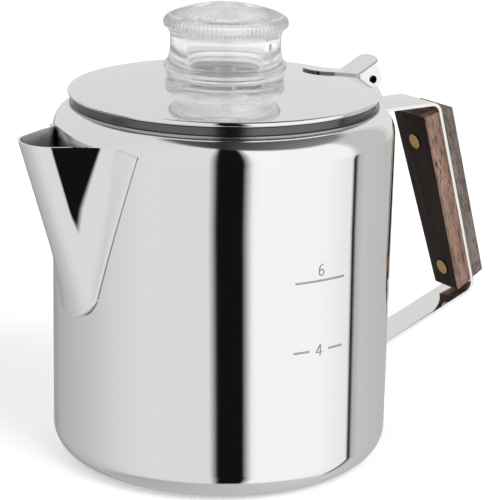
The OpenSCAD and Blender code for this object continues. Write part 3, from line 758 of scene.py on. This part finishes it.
def nose_drop(t):
    """How far the flank lies behind the nose, t to the side: an arc and a straight."""
    t = abs(t)
    turn_t = nose_round * math.cos(flank_turn)
    if t < turn_t:
        return nose_round - math.sqrt(nose_round ** 2 - t * t)
    return nose_round * (1 - math.sin(flank_turn)) + (t - turn_t) / math.tan(flank_turn)


def channel_half(z):
    """Half width of the spout's channel where it leaves the wall."""
    t = 0.0
    while nose_x(z) - nose_drop(t) > pot_r and t < pot_r / 2:
        t += 0.1 * MM
    return t


print("channel half width at the top, mm:", round(channel_half(wall_top) / MM, 1))

# %% [markdown]
# ## Pouring holes
# Behind the spout the wall is pierced by rows of holes that hold back the grounds. A row is as
# wide as the channel at that height. All the drills are one mesh of short rods, so that a
# single boolean cuts them, and that is quicker and cleaner than one cut for each hole.

# %% Pierce the wall
hole_radius = 1.6 * MM
hole_pitch = 4.6 * hole_radius
drill_sides, drill_half = 20, 3 * MM


def add_drill(points, faces, angle, z):
    """Adds one rod that passes through the wall at that angle and height."""
    out = Vector((math.cos(angle), math.sin(angle), 0))
    across = Vector((-math.sin(angle), math.cos(angle), 0))
    first, sides = len(points), range(drill_sides)
    for depth in (pot_r - drill_half, pot_r + drill_half):
        for k in sides:
            w = 2 * math.pi * k / drill_sides
            points.append(out * depth + across * hole_radius * math.cos(w)
                          + Vector((0, 0, z + hole_radius * math.sin(w))))
    faces.append([first + k for k in reversed(sides)])
    faces.append([first + drill_sides + k for k in sides])
    for k in sides:
        n = (k + 1) % drill_sides
        faces.append([first + k, first + n, first + drill_sides + n, first + drill_sides + k])


def pierce(obj):
    """Cuts the pouring holes behind the spout; returns the number of rows."""
    first_z = wall_top - hole_pitch
    rows = int((first_z - flange_low - 1.5 * hole_pitch) / hole_pitch) + 1
    points, faces = [], []
    for row in range(rows):
        z = first_z - row * hole_pitch
        half = int(channel_half(z) / hole_pitch - 0.5)
        for col in range(-half, half + 1):
            add_drill(points, faces, math.pi + col * hole_pitch / pot_r, z)
    drills = faced_out(mesh_object("drills", points, faces, smooth=False))
    cut = obj.modifiers.new("pouring_holes", "BOOLEAN")
    cut.object = drills
    cut.operation = "DIFFERENCE"
    cut.solver = "EXACT"
    settle(obj)
    bpy.data.objects.remove(drills)
    return rows


rows_cut = pierce(pot)
sharpen(pot)
print("pot mesh:", len(pot.data.vertices), "points,", rows_cut, "rows of holes")

# %% [markdown]
# ## The pot's finishes
# The pot is polished, but the neck sits in the lid's shade, so its outer side is dark steel as
# painted shade. A narrow band below the step is painted shade half as dark, and the two together
# draw the lines under the lid.

# %% Finish the pot
neck_band, step_band = 0.3 * MM, 0.74 * MM
outer_side = neck_r - 0.3 * MM


def outside_neck(face):
    """Whether a face lies on the outer side of the neck or on the step."""
    return math.hypot(face.center.x, face.center.y) > outer_side


finish_piece(pot, "pot", polished_steel, "polished_steel", "pot_body")
# Painted shade: dark steel on the neck and a grey band just below the step.
neck_faces = second_finish(
    pot, painted_shade_steel, lambda f: f.center.z > step_top - neck_band and outside_neck(f))
band_faces = second_finish(
    pot, mark_and_shade_steel,
    lambda f: -step_band < f.center.z - step_top < -neck_band and outside_neck(f))
print("faces of the neck:", neck_faces, "and of the band below it:", band_faces)

# %% [markdown]
# ## Filling marks
# Two levels are pressed out of the front of the wall: a full line with a 6, and two dashes with
# a 4 between them. Each stroke is a low rib that follows the wall. On a mirror even a rib of a
# seventh of a millimetre shows, since its sides throw back another part of the room.

# %% Section of a pressed stroke
mark_rise = 0.14 * MM
mark_high, mark_low = 79.7 * MM, 54.4 * MM
long_line, dash = 20.7 * MM, 6.2 * MM
numeral = 4.2 * MM
line_w, numeral_w = 0.9 * MM, 0.6 * MM
rib_section = [(-1, -0.25), (-0.62, 0.62), (0, 1), (0.62, 0.62), (1, -0.25)]


def rib_points(line, width):
    """A low rounded rib along a line of (across, height) points laid on the front wall."""
    points, faces = [], []
    for i, p in enumerate(line):
        back = line[max(i - 1, 0)]
        front = line[min(i + 1, len(line) - 1)]
        way = Vector((front[0] - back[0], front[1] - back[1])).normalized()
        left = Vector((-way.y, way.x))
        for a, h in rib_section:
            s, z = p[0] + left.x * a * width / 2, p[1] + left.y * a * width / 2
            r, angle = pot_r + h * mark_rise, s / pot_r - math.pi / 2
            points.append((r * math.cos(angle), r * math.sin(angle), z))
    n = len(rib_section)
    for i in range(len(line) - 1):
        for k in range(n - 1):
            faces.append((i * n + k, i * n + k + 1, (i + 1) * n + k + 1, (i + 1) * n + k))
    faces += [tuple(range(n)), tuple(reversed(range(len(points) - n, len(points))))]
    return points, faces


print("rib section:", len(rib_section), "points")


# %% Draw the lines and numerals
def straight(a, b, steps=12):
    """Points from a to b."""
    return [(a[0] + (b[0] - a[0]) * i / steps, a[1] + (b[1] - a[1]) * i / steps)
            for i in range(steps + 1)]


def numeral_six(foot):
    """The strokes of a 6 that stands at that height: a bowl and a stem."""
    u = numeral
    bowl = [(0.24 * u * math.cos(a), foot + 0.27 * u + 0.25 * u * math.sin(a))
            for a in np.linspace(math.pi, -math.pi, 25)]
    stem = [(-0.24 * u, foot + 0.27 * u), (-0.23 * u, foot + 0.55 * u),
            (-0.15 * u, foot + 0.8 * u), (0.0, foot + 0.93 * u), (0.16 * u, foot + 0.94 * u)]
    return [bowl, stem]


def numeral_four(foot):
    """The strokes of a 4 that stands at that height: upright, slant and bar."""
    u = numeral
    return [straight((0.12 * u, foot), (0.12 * u, foot + u)),
            straight((0.12 * u, foot + u), (-0.3 * u, foot + 0.3 * u)),
            straight((-0.3 * u, foot + 0.3 * u), (0.33 * u, foot + 0.3 * u))]


print("numeral height, mm:", round(numeral / MM, 1))


# %% Press the filling marks
def filling_marks():
    """All strokes of both levels, joined in one mesh."""
    full = straight((-long_line / 2, mark_high), (long_line / 2, mark_high), 24)
    strokes = [(full, line_w)]
    strokes += [(line, numeral_w) for line in numeral_six(mark_high + 1.8 * MM)]
    for way in (-1, 1):
        middle = way * (long_line - dash) / 2
        strokes.append((straight((middle - dash / 2, mark_low), (middle + dash / 2, mark_low)),
                        line_w))
    strokes += [(line, numeral_w) for line in numeral_four(mark_low - numeral / 2)]
    points, faces = [], []
    for line, width in strokes:
        p, f = rib_points(line, width)
        faces += [tuple(i + len(points) for i in face) for face in f]
        points += p
    obj = faced_out(mesh_object("filling_marks", points, faces))
    return sharpen(obj, 60), len(strokes)


marks, stroke_count = filling_marks()
finish_piece(marks, "pot", mark_and_shade_steel, "polished_steel")
print("marks:", stroke_count, "strokes")

# %% [markdown]
# ## Spout
# The spout is one sheet bent to a V, with a soft bend from each flank into a flange that hugs
# the wall. A formula gives its distance from the axis at any place, so the mesh is a grid over
# the flange's outline, with an inner skin one sheet behind. The flange thins to its edge, as
# a welded sheet does. Modelling it by hand would never keep the flanks' reflections this clean.

# %% Write the spout's surface and outline
corner_ease, corner_drop = 1.5 * MM, 2.2 * MM
blend_top, blend_low, blend_grow = 3.5 * MM, 7.5 * MM, 0.18


def soft_max(a, b, w):
    """The larger of a and b, with a rounded change from one to the other."""
    return max(a, b) + max(w - abs(a - b), 0) ** 2 / (4 * w)


def spout_x(t, z):
    """Distance outwards of the spout's outer face, t to the side and at height z."""
    blend = min(blend_low, blend_top + blend_grow * (spout_top - z))
    return soft_max(nose_x(z) - nose_drop(t), math.sqrt(spout_r ** 2 - t * t), blend)


def flange_half(z):
    """Half width of the flange along the wall."""
    c = flange_low + flange_tip
    turn_z = c - flange_tip * math.sin(flange_slope)
    if z < turn_z:
        return math.sqrt(max(0, flange_tip ** 2 - (c - z) ** 2))
    over = max(0, z - spout_top + corner_ease)
    eased_by = corner_ease - math.sqrt(max(0, corner_ease ** 2 - over ** 2))
    return flange_tip * math.cos(flange_slope) + (z - turn_z) * math.tan(flange_slope) - eased_by


print("flange half width at the top, mm:", round(flange_half(spout_top) / MM, 1))


# %% Bend the spout
thin_edge, edge_reach = 0.4 * MM, 1.3 * MM
slope_step, rim_ease = 0.02 * MM, 0.1 * MM
faces_pot = 0.2


def skin_faces(rows, cols):
    """Faces of two grids, one behind the other, closed round their edge."""
    wide = cols + 1
    n = (rows + 1) * wide
    faces = []
    for i in range(rows):
        for j in range(cols):
            a = i * wide + j
            faces.append((a, a + wide, a + wide + 1, a + 1))
            faces.append((a + n, a + n + 1, a + n + wide + 1, a + n + wide))
    for i in range(rows):
        for a in (i * wide, i * wide + cols):
            faces.append((a, a + n, a + n + wide, a + wide))
    for j in range(cols):
        for a in (j, rows * wide + j):
            faces.append((a, a + 1, a + 1 + n, a + n))
    return faces


def bend_spout(rows=110, cols=150):
    """The spout as two skins with their edges closed."""
    low = flange_low + wall_gap
    points = []
    for depth in (0.0, spout_sheet):
        for i in range(rows + 1):
            for j in range(cols + 1):
                share = 2 * j / cols - 1
                top = spout_top - corner_drop * max(0, 2 * abs(share) - 1) ** 1.5
                z = low + (top - low) * (i / rows) ** 1.4
                s = flange_half(z) * share
                t = spout_r * math.sin(s / spout_r)
                rise_out = spout_x(t + slope_step, z) - spout_x(t - slope_step, z)
                slope = rise_out / (2 * slope_step)
                size = math.hypot(1, slope)
                edge = max(0, 1 - (flange_half(z) - abs(s)) / edge_reach) ** 2
                deep = depth if depth else thin_edge * edge
                points.append((-(spout_x(t, z) - deep / size), t + deep * slope / size, z))
    obj = mesh_object("spout_shell", points, skin_faces(rows, cols))
    return sharpen(faced_out(obj, ease=rim_ease, sharper_than=60), 50)


spout = bend_spout()
finish_piece(spout, "pot", polished_steel, "polished_steel", "spout")
second_finish(spout, inner_steel, lambda f: f.normal.x > faces_pot)
print("spout mesh:", len(spout.data.vertices), "points, top at", round(spout_top / MM, 1))

# %% [markdown]
# ## Eased edges for the made parts
# The strap, the grips, the rivets, the bracket and the pin have the right shape already, but a
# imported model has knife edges, and no cut or pressed edge is a knife. A copy of each is welded,
# its flat faces are joined again, and a bevel modifier rounds what is sharp. That keeps the
# sizes and gives the thin lines of light along the edges.

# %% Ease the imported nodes
weld_gap = 2e-6
flat_within = math.radians(0.6)
rounded_beyond = math.radians(30)


def eased(node, name, width, segments):
    """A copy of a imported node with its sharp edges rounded."""
    copy = link(bpy.data.objects.new(name, nodes[node].data.copy()))
    work = bmesh.new()
    work.from_mesh(copy.data)
    bmesh.ops.remove_doubles(work, verts=work.verts, dist=weld_gap)
    bmesh.ops.dissolve_limit(work, angle_limit=flat_within, verts=work.verts, edges=work.edges)
    bmesh.ops.recalc_face_normals(work, faces=work.faces)
    work.to_mesh(copy.data)
    work.free()
    if copy.data.has_custom_normals:
        copy.data.normals_split_custom_set([(0, 0, 0)] * len(copy.data.loops))
    for polygon in copy.data.polygons:
        polygon.use_smooth = True
    bevel = copy.modifiers.new("eased_edge", "BEVEL")
    bevel.width = width
    bevel.segments = segments
    bevel.limit_method = "ANGLE"
    bevel.angle_limit = rounded_beyond
    bevel.miter_outer = "MITER_ARC"
    settle(copy)
    return sharpen(copy, 40)


made_parts = [("strap", "handle_strap", 0.2 * MM, 2, polished_steel, "polished_steel"),
              ("inner_grip", "grip_inner", 0.6 * MM, 4, rosewood_in, "rosewood"),
              ("outer_grip", "grip_outer", 0.6 * MM, 4, rosewood_out, "rosewood"),
              ("rivets", "grip_rivets", 0.3 * MM, 3, brass, "brass"),
              ("bracket", "hinge_bracket", 0.15 * MM, 2, polished_steel, "polished_steel"),
              ("pin", "hinge_pin", 0.12 * MM, 2, dark_pin_steel, "dark_pin_steel")]
made = {}
for name, node, width, segments, material, slot in made_parts:
    made[name] = finish_piece(eased(node, name, width, segments), "pot", material, slot, node)
print("eased pieces:", {name: len(part.data.vertices) for name, part in made.items()})

# %% [markdown]
# ## Dark faces of the handle and the pin
# The side of the inner grip that faces the pot is painted shade: it takes near black wood.
# A dark ring round each rivet head's rim is painted shadow. The pin is hollow ended, and its
# bores are black as painted shadow.

# %% Give the handle and the pin their second finishes
grip_face, rivet_face = 0.6, 0.97
bore_reach = 1.15 * MM
pot_side = Vector((leg_way.y, 0, -leg_way.x))
pin_low, pin_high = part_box("hinge_pin")
pin_at = (pin_low + pin_high) / 2

# Painted shade on the inner grip's side that faces the pot.
shaded = second_finish(made["inner_grip"], shade_rosewood,
                      lambda f: f.normal.dot(pot_side) > grip_face)
# Painted shadow in the pin's bores and on the rim of each rivet head.
bored = second_finish(
    made["pin"], shadow_steel,
    lambda f: math.hypot(f.center.x - pin_at.x, f.center.z - pin_at.z) < bore_reach)
ringed = second_finish(made["rivets"], shadow_steel,
                       lambda f: abs(f.normal.dot(pot_side)) < rivet_face)
print("faces of oiled wood:", shaded, "in the pin's bores:", bored, "round the rivets:", ringed)

# %% [markdown]
# ## Lid cover
# The lid is a shallow cap of a sphere with a rolled bead round it and a hole for the knob. The
# hole has two notches for the knob's lugs, so its edge is a radius that changes with the
# angle. The rings run from that edge out to the bead, and the dome stays a true sphere, which
# keeps the knob's reflection in it clean.

# %% Spin the lid
bead_r = 0.95 * MM
lid_r = lid_high.x
bead_at = lid_r - bead_r
lid_sheet = 0.7 * MM
lid_rise = 4.9 * MM
bead_top = lid_low.z + 2 * bead_r
dome_r = (bead_at ** 2 + lid_rise ** 2) / (2 * lid_rise)
dome_mid = bead_top + lid_rise - dome_r
hole_r, notch_r = 16.8 * MM, 19.5 * MM
notch_half, notch_ease = 6.5 * MM, 0.5 * MM
notch_reach = 26 * MM


def dome_z(r, drop=0.0):
    """Height of the dome at radius r, or of its underside."""
    return dome_mid + math.sqrt((dome_r - drop) ** 2 - r * r)


def lid_profile():
    """Closed section of the lid, from the hole outwards over the bead and back below."""
    out = np.linspace(hole_r, bead_at - 0.02 * MM, 60)
    points = [(r, dome_z(r)) for r in out]
    points += arc((bead_at, bead_top - bead_r), bead_r, 90, -190, 40)
    points += [(r, dome_z(r, lid_sheet)) for r in reversed(out[:-2])]
    return tidy(points)


def notched(angle, r, z):
    """Moves the rings near the hole out to the two notches."""
    half = abs(math.cos(angle)) * notch_r
    share = min(max((notch_half + notch_ease - half) / (2 * notch_ease), 0), 1)
    edge = hole_r + (notch_r - hole_r) * share * share * (3 - 2 * share)
    if r >= notch_reach:
        return r, z
    r2 = edge + (r - hole_r) * (notch_reach - edge) / (notch_reach - hole_r)
    top = z > dome_z(r) - lid_sheet / 2
    return r2, dome_z(r2) if top else dome_z(r2, lid_sheet)


finish_piece(turned("lid_dome", lid_profile(), pot_segments, notched), "lid", polished_steel,
             "polished_steel", "lid_cover")
print("lid radius", round(lid_r / MM, 2), "dome radius", round(dome_r / MM, 1))

# %% [markdown]
# ## Hinge leaf
# The leaf is one strip: a pad with a round end that lies on the dome, a fold at the lid's edge
# and a thumb tab that rises past it. Its two ears hang from the tab and turn on the pin. The
# strip is a grid whose half width follows the round ends, so its edge is clean all round.

# %% Bend the strip
leaf_w, leaf_t = 11 * MM, 0.8 * MM
tab_slope = math.radians(27)
tab_foot_x, tab_long = lid_r - 0.4 * MM, 11.6 * MM
tab_tip_x = tab_foot_x + tab_long * math.cos(tab_slope)
pad_mid_x = lid_r - 20.8 * MM + leaf_w / 2
skin_gap, end_gap = 0.04 * MM, 0.02 * MM
fold_blend = 0.7 * MM


def leaf_height(x, y):
    """Height of the strip's upper face: on the dome, round the fold and up the tab."""
    on_dome = dome_z(min(math.hypot(x, y), tab_foot_x)) + leaf_t
    tab_foot = dome_z(tab_foot_x) + leaf_t / math.cos(tab_slope)
    on_tab = tab_foot + (x - tab_foot_x) * math.tan(tab_slope)
    return soft_max(on_dome, on_tab, fold_blend) if x > tab_foot_x - 3 * MM else on_dome


def leaf_half(x):
    """Half width of the strip: round at the pad's end and at the tab's tip."""
    back = max(0, pad_mid_x - x)
    front = max(0, x - (tab_tip_x - leaf_w))
    return min(math.sqrt(max(0, (leaf_w / 2) ** 2 - back ** 2)),
               math.sqrt(max(0, leaf_w ** 2 - front ** 2)))


def strip_mesh(rows=110, cols=14):
    """The strip as an upper and a lower skin, with its edge closed."""
    share = [0.5 - 0.5 * math.cos(math.pi * i / rows) for i in range(rows + 1)]
    start, end = pad_mid_x - leaf_w / 2 + end_gap, tab_tip_x - end_gap
    points = []
    for drop in (0.0, leaf_t - skin_gap):
        for part in share:
            x = start + (end - start) * part
            tilt = drop / math.cos(tab_slope) if x > tab_foot_x else drop
            for j in range(cols + 1):
                y = leaf_half(x) * (2 * j / cols - 1)
                points.append((x, y, leaf_height(x, y) - tilt))
    return sharpen(faced_out(mesh_object("leaf_strip", points, skin_faces(rows, cols))), 50)


def on_edge(face):
    """Whether a face of the strip is part of its narrow edge."""
    return abs(face.normal.z) < 0.5


strip = finish_piece(strip_mesh(), "lid", polished_steel, "polished_steel", "hinge_leaf")
# Painted shade along the strip's narrow edge: near black at the pad's end, grey on to the tab.
pad_end_x = pad_mid_x + 4 * MM
second_finish(strip, painted_shade_steel, lambda f: on_edge(f) and f.center.x < pad_end_x)
second_finish(strip, mark_and_shade_steel, lambda f: on_edge(f) and f.center.x > pad_end_x)
print("leaf mesh:", len(strip.data.vertices), "points")

# %% [markdown]
# ## Ears of the leaf
# Each ear is a plate with a straight root along the tab and a round end about the pin. It has
# a real bore, because the pin's dark end shows in it. The plate is drawn as the ring between
# its outline and the bore, point for point, so that its faces need no cutting.

# %% Press the ears
hinge_x, hinge_z = lid_r + 6.6 * MM, neck_top
ear_r, bore_r = 4.2 * MM, 1.56 * MM
root_start, root_end = 0.8 * MM, tab_long - 2.2 * MM


def ear_mesh(name, middle):
    """One ear: a plate that hangs from the tab and turns on the pin in its bore."""
    edge = Vector((math.cos(tab_slope), math.sin(tab_slope)))
    foot = Vector((tab_foot_x, dome_z(tab_foot_x) + 0.1 * MM))
    line = [Vector(p) for p in straight(foot + root_start * edge, foot + root_end * edge, 16)]
    line += [Vector(p) for p in arc((hinge_x, hinge_z), ear_r, 18, -158, 30)]
    pin_mid = Vector((hinge_x, hinge_z))
    bore = [pin_mid + (p - pin_mid).normalized() * bore_r for p in line]
    half = leaf_t / 2
    points = [(p.x, middle + way * half, p.y) for way in (-1, 1) for p in line + bore]
    n = len(line)
    faces = []
    for k in range(n):
        j = (k + 1) % n
        faces += [(k, j, n + j, n + k), (2 * n + k, 3 * n + k, 3 * n + j, 2 * n + j),
                  (k, 2 * n + k, 2 * n + j, j), (n + k, n + j, 3 * n + j, 3 * n + k)]
    return sharpen(faced_out(mesh_object(name, points, faces), ease=rim_ease), 50)


for name, way in (("leaf_ear_near", -1), ("leaf_ear_far", 1)):
    finish_piece(ear_mesh(name, way * (leaf_w - leaf_t) / 2), "lid", polished_steel,
                 "polished_steel")
print("ears turn on the pin at", round(hinge_x / MM, 1), round(hinge_z / MM, 1))

# %% [markdown]
# ## Knob
# The knob is turned too: a foot with a rounded bulge, a waist, and a head with a shallow cap.
# The hollow goes up from the neck as far as the head, and its end is round, as a moulding core
# is. A clear piece shows its inner wall as much as its outer one, so both are in the profile.

# %% Draw the knob's section
knob_top = knob_high.z
rim_r = knob_high.x
seat = dome_z(hole_r - 0.3 * MM) + 0.15 * MM
rim_z = knob_top - 6.8 * MM
rim_round = 2.5 * MM
waist_r, waist_top, waist_low = 19.9 * MM, seat + 14 * MM, seat + 12 * MM
under_in, under_drop, throat_drop = 0.35 * MM, 1.0 * MM, 3.6 * MM
bulge_out, bulge_drop = 22.2 * MM, 7.2 * MM
bulge_r, foot_r, foot_round = 2.1 * MM, 21.6 * MM, 0.7 * MM
stem_r, stem_round = 16.5 * MM, 0.5 * MM
hollow_r, hollow_round = 13.9 * MM, 3 * MM


def cap_points():
    """The shallow cap, from the middle out to where the rim's round begins."""
    start = math.radians(64)
    wide = rim_r - rim_round + rim_round * math.cos(start)
    high = knob_top - 0.1 * MM - rim_z - rim_round * math.sin(start)
    cap_r = (wide ** 2 + high ** 2) / (2 * high)
    return [(r, knob_top - cap_r + math.sqrt(cap_r ** 2 - r * r)) for r in np.linspace(0, wide, 70)]


def waist_points():
    """From the rim in to the waist and out again to the bulge above the foot."""
    shares = np.linspace(0, 1, 14)[1:]
    under = rim_r - under_in
    points = []
    for share in shares:
        ease = share * share * (3 - 2 * share)
        points.append((under - (under - waist_r) * math.sin(share * math.pi / 2),
                       rim_z - under_drop - throat_drop * (ease + share) / 2))
    points += [(waist_r, waist_top), (waist_r, waist_low)]
    for share in shares:
        points.append((waist_r + (bulge_out - waist_r) * (1 - math.cos(share * math.pi / 2)),
                       waist_low - bulge_drop * math.sin(share * math.pi / 2) ** 0.9))
    return points


def hollow_points(stem_low):
    """From the neck's end up the inner wall to the round end of the hollow."""
    roof = rim_z + 0.6 * MM
    wall = hollow_r + stem_round
    points = arc((wall, stem_low + stem_round), stem_round, -90, -180, 4)
    points += [(hollow_r + 0.1 * MM, seat + 4 * MM), (hollow_r + 0.3 * MM, seat + 9 * MM)]
    points += arc((wall - hollow_round, roof - hollow_round), hollow_round, 0, 84, 10)
    return points + [(hollow_r * 0.5, roof + 0.25 * MM), (0, roof + 0.35 * MM)]


def knob_profile():
    """Closed section: outside from the cap's middle down to the neck, then up the hollow."""
    stem_low = knob_low.z
    points = cap_points() + arc((rim_r - rim_round, rim_z), rim_round, 62, -30, 20)
    points += waist_points()
    points += arc((bulge_out - bulge_r, seat + 4.1 * MM), bulge_r, 10, -70, 10)
    points += arc((foot_r - foot_round, seat + 0.9 * MM), foot_round, 60, -90, 8)
    points += [(stem_r + 0.4 * MM, seat + 0.1 * MM), (stem_r, seat - 0.3 * MM)]
    points += arc((stem_r - stem_round, stem_low + stem_round), stem_round, 0, -90, 4)
    return tidy(points + hollow_points(stem_low))


print("knob section:", len(knob_profile()), "points")

# %% [markdown]
# ## Flutes and ribs
# Fine flutes fan out over the cap from near its middle, and a band of short ribs goes round the
# rim. They are far too fine to model one by one, but a turned mesh takes them for nothing: the
# height and radius of those rings follow a wave round the axis.

# %% Mould the knob
flutes, ribs = 60, 84
flute_depth, rib_depth = 0.24 * MM, 0.3 * MM
flute_start, flute_run, flute_end_run = 2.5 * MM, 6 * MM, 1.2 * MM
head_low = rim_z - 1.4 * MM
band_in, band_run = 2.2 * MM, 0.8 * MM
knob_segments = 720


def fluted(angle, r, z):
    """Presses the flutes into the cap and the ribs into the rim."""
    if z < head_low or r < 1e-6:
        return r, z
    inner = min(max((r - flute_start) / flute_run, 0), 1)
    outer = min(max((rim_r - band_in - r) / flute_end_run, 0), 1)
    z2 = z - inner * outer * flute_depth * (0.5 - 0.5 * math.cos(flutes * angle))
    band = min(max((r - rim_r + band_in) / band_run, 0), 1)
    return r - band * rib_depth * (0.5 - 0.5 * math.cos(ribs * angle)), z2


knob = finish_piece(turned("knob_moulding", knob_profile(), knob_segments, fluted), "knob",
                    clear_knob, "clear_knob", "knob")
print("knob mesh:", len(knob.data.vertices), "points,", flutes, "flutes")

# %% [markdown]
# ## Bayonet lugs
# Two lugs on the knob's neck pass the notches in the lid and hold under it after a quarter
# turn. Each is a short curved block, moulded with the knob, so it takes the same clear plastic.

# %% Mould the lugs
lug_in, lug_out, lug_half, lug_high = 16.2 * MM, 19.1 * MM, 6 * MM, 2.2 * MM
lug_ease, lug_corner = 0.3 * MM, 45.8
lug_top = dome_z(lug_out) - lid_sheet - 0.3 * MM


def knob_lug(name, way, steps=12):
    """One bayonet lug on the side of the neck: way is 1 for +X and -1 for -X."""
    points, faces = [], []
    for r in (lug_in, lug_out):
        for z in (lug_top - lug_high, lug_top):
            for k in range(steps + 1):
                y = lug_half * (2 * k / steps - 1)
                points.append((way * math.sqrt(r * r - y * y), y, z))
    n = steps + 1
    rings = (0, n, 3 * n, 2 * n)
    for a, b in zip(rings, rings[1:] + rings[:1]):
        faces += [(a + k, a + k + 1, b + k + 1, b + k) for k in range(steps)]
    faces += [rings, tuple(steps + ring for ring in reversed(rings[1:] + rings[:1]))]
    obj = mesh_object(name, points, faces, smooth=False)
    return sharpen(faced_out(obj, ease=lug_ease, sharper_than=lug_corner, clamp=False))


for name, way in (("knob_lug_left", -1), ("knob_lug_right", 1)):
    finish_piece(knob_lug(name, way), "knob", clear_knob, "clear_knob")
print("lugs under the lid at", round(lug_top / MM, 1))

# %% [markdown]
# ## Inside pieces
# The lid's skirt, the pump, the basket and the spreader are turned or pressed sheet and are
# seen only with the lid open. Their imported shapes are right, holes included, so they stay and
# only take a finish: satin steel with lines from spinning for most, duller aluminium for the
# pump.

# %% Finish the inside pieces
steel_pieces = ["lid_skirt", "basket", "basket_sleeve", "spreader", "spreader_collar",
                "pump_valve"]
aluminium_pieces = ["pump_tube", "pump_bell", "pump_floor_plate", "basket_stop"]
for pieces, material in ((steel_pieces, satin_steel), (aluminium_pieces, satin_aluminium)):
    for node in pieces:
        nodes[node].material_slots[0].material = material
print("finished:", ", ".join(steel_pieces + aluminium_pieces))
